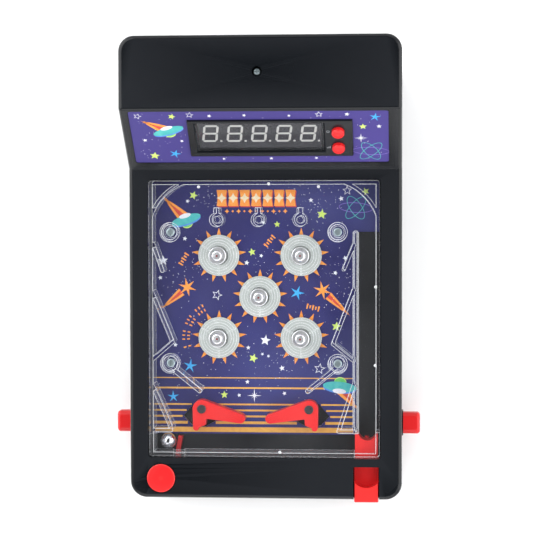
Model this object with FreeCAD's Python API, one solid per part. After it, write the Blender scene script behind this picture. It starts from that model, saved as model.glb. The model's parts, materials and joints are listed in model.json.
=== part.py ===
import FreeCAD, Part
import math
import os

# Table-top electronic pinball game, millimetres.
# Deck frame: Z square to the playing deck, Y from the player's edge to the rear, X to the right,
# origin at the middle of the deck's front edge.  Table frame: +Z up, floor at z = 0, same X.
# Every piece is drawn in the deck frame, or in the table frame where its walls stand upright,
# and saved in the table frame with the origin under the middle of the whole game.

V = FreeCAD.Vector

# ---- driving dimensions -------------------------------------------------------------------
# housing
slope = 6.5                     # tilt of the deck, degrees
body_width = 214.6
deck_length = 258.8             # front edge to the foot of the header's face
header_run = 45.0               # header face, along the deck
header_rise = 52.0              # header face, above the deck
header_depth = 56.2             # header top, front lip to rear wall
front_height = 46.0             # deck's front edge above the table
split_height = 9.0              # seam between upper and lower housing
base_underside = 3.0
base_thickness = 2.2
wall = 2.4
front_corner = 13.0
rear_corner = 12.0
edge_radius = 3.0
lip_height = 3.0                # locating lip of the lower housing
lip_thickness = 1.4
skirt = 1.8                     # inner wall around the deck opening

# fits
easy_gap = 0.3                  # between loose neighbours
running_gap = 0.05              # radial, on pins, stems and rods
seam_gap = 0.15

# clear cover and play space
cavity_left = -89.2
cavity_right = 86.9
cavity_front = 35.5
cavity_rear = 247.5
cover_wall = 3.0
cover_plate = 2.0
cover_recess = 1.0              # cover's top below the deck
cover_gap = 0.7                 # cover to deck opening
cover_corner = 2.5
play_depth = 23.0               # deck to the printed card
card_thickness = 2.0
tray_thickness = 2.0
rib = 2.6                       # clear guide ribs
corner_arc_radius = 43.0
corner_arc_setback = 40.2
well_radius = 7.6
well_wall = 1.6
well_depth = 8.0
post_radius = 4.6
post_half_x = 66.2
post_centre_x = -9.3
post_rows = (106.1, 209.8)
lane_post_radius = 5.35
lane_post_bore = 2.85
lane_post_row = 219.6
stem_width = 4.0
stem_length = 9.4

# launch lane and trough
ball_radius = 6.35
lane_wall_left = 69.0
lane_wall_right = 73.2
lane_wall_rear = 210.8
lane_wall_front = 51.6
card_front = 47.9

# flippers
flipper_centre_x = -8.95
flipper_half_x = 42.75
flipper_row = 68.95
flipper_length = 31.8
flipper_droop = 13.8            # degrees below square at rest
flipper_swing = 45.0            # degrees
flipper_height = 10.4
flipper_top = -12.0
hub_radius = 7.3
tip_radius = 3.8
tail_length = 14.9
tail_radius = 2.5
flipper_pin_radius = 2.0
flipper_pin_head = 3.5
drive_offset_x = 3.0
drive_offset_y = 12.0
drive_radius = 1.6
drive_gap = 0.15

# side buttons
button_level = -33.0
button_width = 17.0
button_height = 14.0
button_proud = 14.4
button_flange = 1.2
flange_thickness = 1.6
rod_radius = 2.55
rim_width = 1.6
rim_proud = 1.0
guide_thickness = 2.0
guide_inset = 8.0               # first rod guide, inside the cover's wall
second_guide_x = 8.5            # second rod guide, outside the drive pin
spring_wire = 0.7

# plunger
plunger_x = 79.4
handle_width = 19.0
handle_proud = 2.6
handle_rear = 25.0
handle_top = -1.5
notch_gap = 0.65
notch_rear = 25.4
head_width = 18.0
head_rear = 50.5
head_top = -9.0
cup_radius = 7.4
cup_offset = 2.2
finger_radius = 12.4
finger_row = 21.1
finger_floor = -10.5
plunger_travel = 26.0
lug_front = 44.0
lug_thickness = 3.0
lug_width = 3.0
lug_depth = 12.0
plunger_spring_level = -33.0
plunger_spring_radius = 3.6
plunger_rib_row = 8.0
plunger_rib = 2.0               # thickness of the rib that the spring bears on
spring_peg_radius = 2.4

# ball button and gate
ball_button_x = -82.8
ball_button_y = 15.3
ball_button_radius = 11.1
ball_button_gap = 0.5
ball_button_dome = 1.0
ball_button_skirt = 7.0
ball_button_press = 5.0
cup_depth = 17.0
cup_wall = 1.8
stem_radius = 3.5
stem_end = -30.0
gate_thickness = 4.0
gate_front_x = -72.6
gate_front_y = 30.4
gate_rear_x = -69.6
gate_rear_y = 46.3
gate_width = 3.4
gate_top = -20.5
ball_x = -79.1
ball_y = 42.7

# bumpers
bumper_x = -5.6
bumper_y = 158.2
bumper_pitch = 32.9
skirt_radius = 16.4
skirt_bore = 7.7
skirt_lift = 0.8
bumper_stem = 3.2
bumper_head = 4.4
bumper_washer = 6.9
bumper_top = -4.6
lamp_radius = 0.8
bumper_spring_wire = 0.7
bumper_spring_radius = 6.0
coil_sides = 8                  # facets round a spring's wire
coil_steps = 16                 # facets along each turn

# header face
label_left = -100.5
label_right = 97.3
label_low = 8.3                 # up the face from its foot
label_high = 66.0
label_depth = 1.0
label_thickness = 0.6
bezel_left = -56.2
bezel_right = 69.8
bezel_low = 16.9
bezel_high = 56.4
bezel_proud = 1.4
window_left = -50.0
window_right = 47.6
window_low = 22.6
window_high = 53.0
window_thickness = 1.2
digit_count = 5
digit_pitch = 18.8
digit_first_x = -39.3
digit_low = 31.0
digit_height = 18.4
digit_width = 11.9
digit_lean = 8.0                # degrees
segment = 1.8
segment_gap = 0.5
small_button_x = 58.7
small_button_rows = (27.5, 44.7)
small_button_radius = 4.85
small_button_proud = 4.2
small_button_press = 1.2
board_level = -8.4              # component side of the circuit board, from the face
board_thickness = 1.6

# lower housing
foot_radius = 7.5
foot_inset_x = 16.0
foot_inset_y = 18.0
housing_screw_x = 100.8
housing_screw_rows = (28.0, 150.0, deck_length + 59.2)
boss_radius = 3.7
screw_radius = 1.45
screw_head_radius = 2.9
screw_head_height = 2.2
tray_screw_rows = (92.0, 205.0)
cell_radius = 7.1
cell_length = 50.0
cell_count = 3
battery_x = 40.0
battery_y = deck_length + 3.2
speaker_radius = 25.0
speaker_height = 16.0
speaker_x = -50.0
speaker_y = deck_length + 31.2
top_screw_x = -1.9
top_screw_y = deck_length + 65.2    # under the header's top
top_well_radius = 3.8
top_well_depth = 4.0

# ---- worked-out places --------------------------------------------------------------------
angle = math.radians(slope)
card_top = -play_depth
tray_top = card_top - card_thickness
tray_bottom = tray_top - tray_thickness
cover_top = -cover_recess
ceiling = cover_top - cover_plate
half_width = body_width / 2
face_angle = math.atan2(header_rise, header_run)
face_length = math.hypot(header_rise, header_run)
opening_left = cavity_left - cover_wall - cover_gap
opening_right = cavity_right + cover_wall + cover_gap
opening_front = cavity_front - cover_wall - cover_gap
opening_rear = cavity_rear + cover_wall + cover_gap
base_top = base_underside + base_thickness
flipper_reach = math.hypot(drive_offset_x, drive_offset_y)
drive_rest = math.atan2(-drive_offset_y, -drive_offset_x)
button_travel = flipper_reach * (
    math.cos(drive_rest + math.radians(flipper_swing)) - math.cos(drive_rest))
rod_row = flipper_row - drive_offset_y
lane_centre = (lane_wall_right + cavity_right) / 2


def table_point(y, z):
    """Deck (y, z) to table (y, z)."""
    return (y * math.cos(angle) - z * math.sin(angle),
            y * math.sin(angle) + z * math.cos(angle) + front_height)


rear_wall_y = table_point(deck_length + header_run + header_depth, header_rise)[0]


# ---- frames -------------------------------------------------------------------------------
def to_table(shape):
    moved = shape.copy()
    moved.rotate(V(0, 0, 0), V(1, 0, 0), slope)
    moved.translate(V(0, 0, front_height))
    return moved


def to_deck(shape):
    moved = shape.copy()
    moved.translate(V(0, 0, -front_height))
    moved.rotate(V(0, 0, 0), V(1, 0, 0), -slope)
    return moved


def on_face(shape):
    """From the face's own frame (X, up the slope, outwards) to the deck frame."""
    moved = shape.copy()
    moved.rotate(V(0, 0, 0), V(1, 0, 0), math.degrees(face_angle))
    moved.translate(V(0, deck_length, 0))
    return moved


# ---- shape helpers ------------------------------------------------------------------------
def box(x0, x1, y0, y1, z0, z1):
    return Part.makeBox(x1 - x0, y1 - y0, z1 - z0, V(x0, y0, z0))


def disc(x, y, z0, z1, radius):
    return Part.makeCylinder(radius, z1 - z0, V(x, y, z0))


def rod_x(x0, x1, y, z, radius):
    return Part.makeCylinder(radius, x1 - x0, V(x0, y, z), V(1, 0, 0))


def rod_y(y0, y1, x, z, radius):
    return Part.makeCylinder(radius, y1 - y0, V(x, y0, z), V(0, 1, 0))


def tube(x, y, z0, z1, outer, inner):
    return disc(x, y, z0, z1, outer).cut(disc(x, y, z0 - 1, z1 + 1, inner))


def prism(points, z0, z1):
    corners = [V(x, y, z0) for x, y in points]
    return Part.Face(Part.makePolygon(corners + corners[:1])).extrude(V(0, 0, z1 - z0))


def upright_edges(shape):
    edges = []
    for edge in shape.Edges:
        a = edge.Vertexes[0].Point
        b = edge.Vertexes[-1].Point
        if abs(a.x - b.x) < 1e-6 and abs(a.y - b.y) < 1e-6 and abs(a.z - b.z) > 1e-6:
            edges.append(edge)
    return edges


def round_box(x0, x1, y0, y1, z0, z1, radius):
    shape = box(x0, x1, y0, y1, z0, z1)
    return shape.makeFillet(radius, upright_edges(shape))


def side_block(x0, x1, y, z, width, height, radius):
    """Bar along X with a rounded section."""
    block = round_box(-height / 2, height / 2, -width / 2, width / 2, 0, x1 - x0, radius)
    block.rotate(V(0, 0, 0), V(0, 1, 0), 90)
    block.translate(V(x0, y, z))
    return block


def bar(x0, y0, x1, y1, z0, z1, width):
    """Upright rib between two points, with rounded ends."""
    length = math.hypot(x1 - x0, y1 - y0)
    slab = Part.makeBox(length, width, z1 - z0, V(0, -width / 2, z0))
    slab.rotate(V(0, 0, 0), V(0, 0, 1), math.degrees(math.atan2(y1 - y0, x1 - x0)))
    slab.translate(V(x0, y0, 0))
    return slab.fuse([disc(x0, y0, z0, z1, width / 2), disc(x1, y1, z0, z1, width / 2)])


def spun(profile, x=0.0, y=0.0):
    """Solid of revolution from (radius, z) points, about Z."""
    corners = [V(r, 0, z) for r, z in profile]
    face = Part.Face(Part.makePolygon(corners + corners[:1]))
    shape = face.revolve(V(0, 0, 0), V(0, 0, 1), 360)
    shape.translate(V(x, y, 0))
    return shape


def coil(radius, wire, length, turns):
    """Helical spring standing on z = 0: a wire of flat facets, its ends square to it."""
    pitch = (length - wire) / (2 * math.pi * turns)
    lean = math.atan2(pitch, radius)
    count = int(coil_steps * turns)
    points = []
    for step in range(count + 1):
        a = 2 * math.pi * turns * step / count
        for side in range(coil_sides):
            b = 2 * math.pi * side / coil_sides
            out = wire / 2 * math.cos(b)
            up = wire / 2 * math.sin(b)
            x = (radius + out) * math.cos(a) + up * math.sin(lean) * math.sin(a)
            y = (radius + out) * math.sin(a) - up * math.sin(lean) * math.cos(a)
            points.append(V(x, y, wire / 2 + pitch * a + up * math.cos(lean)))
    facets = []
    for step in range(count):
        for side in range(coil_sides):
            p = step * coil_sides + side
            q = step * coil_sides + (side + 1) % coil_sides
            facets.append((p, p + coil_sides, q))
            facets.append((q, p + coil_sides, q + coil_sides))
    last = count * coil_sides
    for side in range(1, coil_sides - 1):
        facets.append((0, side, side + 1))
        facets.append((last, last + side + 1, last + side))
    shape = Part.Shape()
    shape.makeShapeFromMesh((points, facets), 1e-4)
    return Part.Solid(shape)


def pan_screw(radius, length, head_radius, head_height):
    """Pan-head screw pointing down from z = 0, with a cross recess."""
    shank = spun([(0, -length), (radius * 0.4, -length), (radius, -length + 1.6),
                  (radius, 0), (0, 0)])
    head = disc(0, 0, 0, head_height, head_radius)
    top = [edge for edge in head.Edges if abs(edge.CenterOfMass.z - head_height) < 1e-6]
    head = head.makeFillet(head_height * 0.45, top)
    slot = head_radius * 0.62
    thin = head_radius * 0.13
    deep = head_height * 0.55
    cross = box(-slot, slot, -thin, thin, deep, head_height + 1)
    cross = cross.fuse(box(-thin, thin, -slot, slot, deep, head_height + 1))
    return shank.fuse(head.cut(cross)).removeSplitter()


def at(shape, x, y, z):
    moved = shape.copy()
    moved.translate(V(x, y, z))
    return moved


def group(shapes):
    return Part.makeCompound(shapes)


def mirror_x(shape, centre):
    return shape.mirror(V(centre, 0, 0), V(1, 0, 0))


# ---- housing ------------------------------------------------------------------------------
def side_profile():
    """Outline of the game from the side, in the table frame, without its bottom edge."""
    foot = table_point(deck_length, 0)
    lip = table_point(deck_length + header_run, header_rise)
    rear = table_point(deck_length + header_run + header_depth, header_rise)
    return [(0, front_height), foot, lip, rear]


def inset_profile(inset, bottom):
    """The side outline moved inwards by inset, closed at height bottom."""
    top = side_profile()
    line = [(0, bottom)] + top + [(top[-1][0], bottom)]
    moved = []
    for (ya, za), (yb, zb) in zip(line, line[1:]):
        length = math.hypot(yb - ya, zb - za)
        ny = (zb - za) / length
        nz = -(yb - ya) / length
        moved.append((ya + ny * inset, za + nz * inset, (yb - ya) / length, (zb - za) / length))
    points = [(moved[0][0], bottom)]
    for (ya, za, uya, uza), (yb, zb, uyb, uzb) in zip(moved, moved[1:]):
        along = ((yb - ya) * uzb - (zb - za) * uyb) / (uya * uzb - uza * uyb)
        points.append((ya + uya * along, za + uza * along))
    points.append((moved[-1][0], bottom))
    return points


def upright_block(inset, bottom, top):
    """Rounded rectangle of the housing's plan, moved inwards by inset."""
    low = box(-half_width + inset, half_width - inset, inset, rear_wall_y - inset, bottom, top)
    edges = upright_edges(low)
    front = [edge for edge in edges if edge.CenterOfMass.y < rear_wall_y / 2]
    low = low.makeFillet(front_corner - inset, front)
    edges = [edge for edge in upright_edges(low) if edge.CenterOfMass.y > rear_wall_y - inset - 1e-3]
    return low.makeFillet(rear_corner - inset, edges)


def housing_block(inset, bottom):
    outline = [V(-half_width, y, z) for y, z in inset_profile(inset, bottom)]
    slab = Part.Face(Part.makePolygon(outline + outline[:1])).extrude(V(body_width, 0, 0))
    return slab.common(upright_block(inset, bottom, front_height * 6))


def rounded_housing():
    """Outer shape with all its upper edges rounded."""
    block = housing_block(0, split_height)
    foot_y, foot_z = table_point(deck_length, 0)
    edges = []
    for edge in block.Edges:
        a = edge.Vertexes[0].Point
        b = edge.Vertexes[-1].Point
        middle = edge.CenterOfMass
        upright = abs(a.x - b.x) < 1e-4 and abs(a.y - b.y) < 1e-4
        crease = abs(middle.y - foot_y) < 0.01 and abs(middle.z - foot_z) < 0.01
        if not upright and not crease and middle.z > split_height + 0.01:
            edges.append(edge)
    return block.makeFillet(edge_radius, edges)


def deck_opening(z0, z1, grow):
    return round_box(opening_left - grow, opening_right + grow, opening_front - grow,
                     opening_rear + grow, z0, z1, cover_corner + grow)


def notch_side(sign):
    return plunger_x + sign * (handle_width / 2 + notch_gap)


def make_upper_housing():
    shell = rounded_housing().cut(housing_block(wall, split_height - 1))
    shell = to_deck(shell)
    roof = -wall / 2
    ring = deck_opening(tray_top, roof, skirt).cut(deck_opening(tray_top - 1, 1, 0))
    cup_radius_in = ball_button_radius + ball_button_gap
    cup = disc(ball_button_x, ball_button_y, -cup_depth - cup_wall, roof, cup_radius_in + cup_wall)
    pocket = box(notch_side(-1) - wall, notch_side(1) + wall, 0.5, opening_front - 1, tray_top, roof)
    shell = shell.fuse([ring, cup, pocket])
    rims = []
    for sign in (-1, 1):
        x0 = sign * half_width if sign > 0 else -half_width - rim_proud
        rims.append(side_block(x0 - (0.5 if sign > 0 else 0), x0 + rim_proud + (0 if sign > 0 else 0.5),
                               rod_row, button_level, button_width + 2 * rim_width,
                               button_height + 2 * rim_width, 5.5))
    bosses = []
    for sign in (-1, 1):
        for row in housing_screw_rows:
            boss = disc(sign * housing_screw_x, row, split_height, front_height * 4, boss_radius)
            bosses.append(to_deck(boss.common(housing_block(wall / 2, split_height))))
        for row in tray_screw_rows:
            bosses.append(disc(sign * housing_screw_x, row, tray_top, roof, boss_radius))
    floor = top_well_floor()
    well = disc(top_screw_x, top_screw_y, floor - 2 * wall, floor + top_well_depth,
                top_well_radius + wall)
    shell = shell.fuse(rims + bosses + [to_deck(well.common(housing_block(wall / 2, split_height)))])
    cuts = [deck_opening(tray_top - 1, 5, 0)]
    cuts.append(disc(ball_button_x, ball_button_y, -cup_depth, 5, cup_radius_in))
    cuts.append(disc(ball_button_x, ball_button_y, -cup_depth - 5, 5, stem_radius + running_gap))
    cuts.append(box(notch_side(-1), notch_side(1), -9, notch_rear, tray_top - 1, 5))
    cuts.append(box(notch_side(-1), notch_side(1), notch_rear - 1, opening_front + 1,
                    tray_top - 1, head_top + easy_gap + 1))
    cuts.append(box(gate_front_x - gate_width, gate_rear_x + gate_width, opening_front - skirt - 3,
                    opening_front + 1, tray_top - 1, gate_top + 1))
    for sign in (-1, 1):
        cuts.append(side_block(min(sign * half_width, sign * (half_width - 6)) - 3,
                               max(sign * half_width, sign * (half_width - 6)) + 3,
                               rod_row, button_level, button_width + 2 * easy_gap,
                               button_height + 2 * easy_gap, 4.2))
        for row in housing_screw_rows:
            hole = disc(sign * housing_screw_x, row, split_height - 1, split_height + 12, screw_radius)
            cuts.append(to_deck(hole))
        for row in tray_screw_rows:
            cuts.append(disc(sign * housing_screw_x, row, tray_top - 1, tray_top + 9, screw_radius))
    cuts.append(to_deck(disc(top_screw_x, top_screw_y, floor, floor + 40, top_well_radius)))
    cuts.append(to_deck(disc(top_screw_x, top_screw_y, floor - 20, floor + 1, screw_radius + 0.15)))
    cuts.append(on_face(round_box(label_left, label_right, label_low, label_high, -label_depth, 3, 2)))
    cuts.append(on_face(box(window_left + 1.4, window_right - 1.4, window_low + 1.4,
                            window_high - 1.4, -9, 1)))
    for row in small_button_rows:
        cuts.append(on_face(disc(small_button_x, row, -9, 1, small_button_radius + easy_gap)))
    for cutter in cuts:
        shell = shell.cut(cutter)
    return to_table(shell.removeSplitter())


def foot_places():
    xs = (-half_width + foot_inset_x, half_width - foot_inset_x)
    ys = (foot_inset_y, rear_wall_y - foot_inset_y)
    return [(x, y) for x in xs for y in ys]


def battery_bay(grow, z0, z1):
    half_x = cell_length / 2 + 3.5 + grow
    depth = cell_count * (2 * cell_radius + 0.6) + grow
    return box(battery_x - half_x, battery_x + half_x, battery_y - grow, battery_y + depth, z0, z1)


def make_lower_housing():
    shell = upright_block(0, base_underside, split_height)
    shell = shell.cut(upright_block(wall, base_top, split_height + 1))
    lip = upright_block(wall + seam_gap, base_top - 0.5, split_height + lip_height)
    lip = lip.cut(upright_block(wall + seam_gap + lip_thickness, base_top - 1, split_height + 9))
    bay = battery_bay(1.8, base_top - 1, base_top + 2 * cell_radius + 2.2)
    shell = shell.fuse([lip, bay])
    bosses = []
    for sign in (-1, 1):
        for row in housing_screw_rows:
            bosses.append(disc(sign * housing_screw_x, row, base_underside, split_height, boss_radius + 1))
    ring = tube(speaker_x, speaker_y, base_top - 0.5, base_top + 5, speaker_radius + 2.3,
                speaker_radius + easy_gap)
    post = disc(top_screw_x, top_screw_y, base_top - 0.5, top_post_height(), 4.5)
    fins = [box(top_screw_x - 11, top_screw_x + 11, top_screw_y - 1, top_screw_y + 1,
                base_top - 0.5, base_top + 34),
            box(top_screw_x - 1, top_screw_x + 1, top_screw_y - 11, top_screw_y + 11,
                base_top - 0.5, base_top + 34)]
    shell = shell.fuse(bosses + [ring, post] + fins)
    cuts = [battery_bay(0, base_underside - 1, base_top + 2 * cell_radius + 0.6)]
    cuts.append(battery_bay(2.6, base_underside - 1, base_underside + 1.4))
    cuts.append(to_table(box(notch_side(-1), notch_side(1), -9, 0.4, tray_top - 1, 5)))
    for sign in (-1, 1):
        for row in housing_screw_rows:
            cuts.append(disc(sign * housing_screw_x, row, base_underside - 1, split_height + 5,
                             screw_radius + 0.15))
            cuts.append(disc(sign * housing_screw_x, row, base_underside - 1,
                             base_underside + screw_head_height + 0.4, screw_head_radius + 0.4))
            cuts.append(disc(sign * housing_screw_x, row, split_height, split_height + 9,
                             boss_radius + seam_gap))
    cuts.append(disc(top_screw_x, top_screw_y, top_post_height() - 14, top_post_height() + 1,
                     screw_radius))
    for x, y in foot_places():
        cuts.append(disc(x, y, base_underside - 1, base_underside + 0.6, foot_radius + 0.1))
    for step in range(-3, 4):
        reach = math.sqrt((speaker_radius - 4) ** 2 - (step * 6.0) ** 2)
        cuts.append(box(speaker_x - reach, speaker_x + reach, speaker_y + step * 6.0 - 1.1,
                        speaker_y + step * 6.0 + 1.1, base_underside - 1, base_top + 1))
    cuts.append(disc(battery_x, battery_screw_y(), base_underside - 1, base_top + 6, screw_radius))
    for sign in (-1, 1):
        x, y, z = rod_x_centre(sign)
        cuts.append(side_block(x - 8, x + 8, y, z, button_width + 4, button_height + 4, 4))
    for cutter in cuts:
        shell = shell.cut(cutter)
    return shell.removeSplitter()


def rod_x_centre(sign):
    y, z = table_point(rod_row, button_level)
    return (sign * half_width, y, z)


def battery_screw_y():
    return battery_y - 6.0


def top_well_floor():
    """Level the header's screw head sits at, in the table frame."""
    return table_point(0, header_rise)[1] + top_screw_y * math.tan(angle) - 0.5 - top_well_depth


def top_post_height():
    return top_well_floor() - 2 * wall


def make_battery_door():
    plate = battery_bay(2.6 - easy_gap, base_underside, base_underside + 1.4 - 0.05)
    ear = box(battery_x - 6, battery_x + 6, battery_screw_y() - 5, battery_y + 1,
              base_underside - 1.2, base_underside)
    ear = ear.fuse(battery_bay(2.6 - easy_gap, base_underside - 1.2, base_underside))
    plate = plate.fuse(ear)
    hole = disc(battery_x, battery_screw_y(), base_underside - 3, base_top, screw_radius + 0.15)
    grips = []
    for step in range(5):
        y = battery_y + 30 + step * 2.4
        grips.append(box(battery_x - 9, battery_x + 9, y, y + 1.0, base_underside - 2,
                         base_underside - 0.7))
    return plate.cut([hole] + grips).removeSplitter()


def make_feet():
    feet = []
    for x, y in foot_places():
        foot = disc(x, y, 0, base_underside + 0.6, foot_radius)
        low = [edge for edge in foot.Edges if edge.CenterOfMass.z < 0.01]
        feet.append(foot.makeFillet(0.8, low))
    return group(feet)


# ---- clear cover --------------------------------------------------------------------------
def post_places():
    return [(post_centre_x + sign * post_half_x, row) for row in post_rows for sign in (-1, 1)]


def corner_guide(sign):
    """Quarter guide in a rear corner of the play space."""
    x = (cavity_right - corner_arc_setback) if sign > 0 else (cavity_left + corner_arc_setback)
    y = cavity_rear - corner_arc_setback
    ring = tube(x, y, card_top + seam_gap, ceiling + 0.5, corner_arc_radius + rib, corner_arc_radius)
    corner = box(min(x, x + sign * 60), max(x, x + sign * 60), y, y + 60, card_top, ceiling + 1)
    inside = box(cavity_left - 1, cavity_right + 1, cavity_front, cavity_rear + 1, card_top, ceiling + 1)
    return ring.common(corner).common(inside)


def guide_ribs():
    low = card_top + seam_gap
    high = ceiling + 0.5
    left = cavity_left - 0.5
    lane = lane_wall_left + 0.5
    paths = [
        [(left + 1, 200.5), (-81.5, 179.5)],
        [(left, 162.5), (-73.6, 123.2), (left, 109.2)],
        [(left, 88.6), (-75.6, 56.6), (-75.2, 53.0), (left, 53.0)],
        [(lane, 199.5), (61.8, 180.8)],
        [(lane, 164.5), (53.3, 122.2), (lane, 109.0)],
        [(lane, 89.5), (57.6, 53.0), (lane, 53.0)],
    ]
    pieces = []
    for path in paths:
        for (xa, ya), (xb, yb) in zip(path, path[1:]):
            pieces.append(bar(xa, ya, xb, yb, low, high, rib))
    for sign in (-1, 1):
        x = post_centre_x + sign * (post_half_x - 2.0)
        end = post_centre_x + sign * (post_half_x - 23.4)
        pieces.append(bar(x, post_rows[0] - 4.2, end, post_rows[0] - 21.4, low, high, rib + 0.8))
    return pieces


def lane_wall():
    """Hollow divider between the playfield and the launch lane."""
    low = card_top + seam_gap
    width = lane_wall_right - lane_wall_left
    middle = (lane_wall_left + lane_wall_right) / 2
    rear = lane_wall_rear - width / 2
    outer = box(lane_wall_left, lane_wall_right, lane_wall_front, rear, low, ceiling + 0.5)
    outer = outer.fuse(disc(middle, rear, low, ceiling + 0.5, width / 2))
    skin = 1.1
    inner = box(lane_wall_left + skin, lane_wall_right - skin, lane_wall_front + skin, rear, low - 1,
                ceiling)
    inner = inner.fuse(disc(middle, rear, low - 1, ceiling, width / 2 - skin))
    return outer.cut(inner)


def make_clear_cover():
    left = cavity_left - cover_wall
    right = cavity_right + cover_wall
    front = cavity_front - cover_wall
    rear = cavity_rear + cover_wall
    low = tray_top + seam_gap
    block = round_box(left, right, front, rear, low, cover_top, cover_corner)
    top = [edge for edge in block.Edges if edge.CenterOfMass.z > cover_top - 1e-3]
    block = block.makeFillet(0.8, top)
    block = block.cut(box(cavity_left, cavity_right, cavity_front, cavity_rear, low - 1, ceiling))
    block = block.cut(box(left - 1, right + 1, card_front - easy_gap, rear + 1, low - 1,
                          card_top + seam_gap))
    pieces = guide_ribs() + [lane_wall(), corner_guide(-1), corner_guide(1)]
    for x, y in post_places():
        floor = cover_top - well_depth
        pieces.append(disc(x, y, floor - well_wall, ceiling + 0.5, well_radius))
        pieces.append(disc(x, y, card_top + seam_gap, floor, post_radius))
    for step in (-1, 0, 1):
        x = bumper_x + step * bumper_pitch
        pieces.append(disc(x, lane_post_row, card_top + seam_gap, ceiling + 0.5, lane_post_radius))
        pieces.append(box(x - stem_width / 2, x + stem_width / 2, lane_post_row,
                          lane_post_row + stem_length, card_top + seam_gap, ceiling + 0.5))
    block = block.fuse(pieces)
    cuts = []
    for x, y in post_places():
        cuts.append(disc(x, y, cover_top - well_depth, 5, well_radius - well_wall))
        cuts.append(disc(x, y, tray_bottom, 0, screw_radius + 0.25))
    for step in (-1, 0, 1):
        cuts.append(disc(bumper_x + step * bumper_pitch, lane_post_row, tray_bottom, ceiling - 3,
                         lane_post_bore))
    cuts.append(box(gate_front_x - gate_width + 0.5, gate_rear_x + gate_width - 0.5, front - 1,
                    cavity_front + 1, tray_bottom, gate_top + 1))
    cuts.append(box(plunger_x - head_width / 2 - 0.6, plunger_x + head_width / 2 + 0.6, front - 1,
                    cavity_front + 1, tray_bottom, head_top + 1))
    cuts.append(box(cavity_right - 1, right + 1, front - 1, head_rear + 1.5, tray_bottom, head_top + 1))
    for cutter in cuts:
        block = block.cut(cutter)
    return block.removeSplitter()


# ---- printed card and tray ----------------------------------------------------------------
def flipper_x(sign):
    return flipper_centre_x + sign * flipper_half_x


def window_points(sign):
    """Six-sided opening in the card around a flipper's pivot and drive pin."""
    offsets = [(-15.9, -6.6), (-7.3, 3.4), (7.0, 3.4), (11.6, -5.0), (10.4, -10.5), (1.9, -15.4),
               (-8.9, -14.1)]
    return [(flipper_x(sign) - sign * dx, flipper_row + dy) for dx, dy in offsets]


def bumper_places():
    p = bumper_pitch
    return [(bumper_x - p, bumper_y + p), (bumper_x + p, bumper_y + p), (bumper_x, bumper_y),
            (bumper_x - p, bumper_y - p), (bumper_x + p, bumper_y - p)]


def make_card():
    left = opening_left + 1.2
    right = opening_right - 1.2
    lane_cut = (lane_wall_left + lane_wall_right) / 2
    card = box(left, right, card_front, opening_rear - 1.2, tray_top, card_top)
    card = card.cut(box(lane_cut, right + 1, card_front - 1, lane_wall_rear - 1.0, tray_top - 1, 0))
    card = card.cut(box(plunger_x - head_width / 2 - 0.6, right + 1, card_front - 1,
                        head_rear + 0.6, tray_top - 1, 0))
    for sign in (-1, 1):
        card = card.cut(prism(window_points(sign), tray_top - 1, 0))
    for x, y in bumper_places():
        card = card.cut(disc(x, y, tray_top - 1, 0, bumper_stem + 0.2))
    for x, y in post_places():
        card = card.cut(disc(x, y, tray_top - 1, 0, screw_radius + 0.4))
    return card.removeSplitter()


def gate_points(grow):
    """Plan of the gate blade, a slanted strip beside the ball's seat."""
    dx = gate_rear_x - gate_front_x
    dy = gate_rear_y - gate_front_y
    length = math.hypot(dx, dy)
    ux = dx / length
    uy = dy / length
    half = gate_width / 2 + grow
    xa = gate_front_x - ux * grow
    ya = gate_front_y - uy * grow
    xb = gate_rear_x + ux * grow
    yb = gate_rear_y + uy * grow
    return [(xa + uy * half, ya - ux * half), (xb + uy * half, yb - ux * half),
            (xb - uy * half, yb + ux * half), (xa - uy * half, ya + ux * half)]


def drive_slot(sign):
    """Curved slot in the tray that the flipper's drive pin sweeps."""
    x = flipper_x(sign)
    clear = drive_radius + 0.9
    ring = tube(x, flipper_row, tray_bottom - 1, tray_top + 1, flipper_reach + clear,
                flipper_reach - clear)
    start = math.degrees(drive_rest) - 12
    sweep = flipper_swing + 24
    reach = 40.0
    points = [(x, flipper_row)]
    for step in range(5):
        a = math.radians(start + sweep * step / 4)
        points.append((x - sign * reach * math.cos(a), flipper_row + reach * math.sin(a)))
    return ring.common(prism(points, tray_bottom - 1, tray_top + 1))


def pad_x(sign):
    """Pusher face of the button's rod, against the drive pin."""
    return flipper_x(sign) + sign * (drive_offset_x + drive_radius + drive_gap)


def guide_xs(sign):
    side = cavity_left if sign < 0 else cavity_right
    return (side - sign * guide_inset, pad_x(sign) + sign * second_guide_x)


def spring_peg_length():
    """Half the room left between the rib and the lug when the plunger is pulled right back."""
    room = lug_front - plunger_travel - plunger_rib_row - plunger_rib
    return room / 2 - 2 * easy_gap


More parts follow.
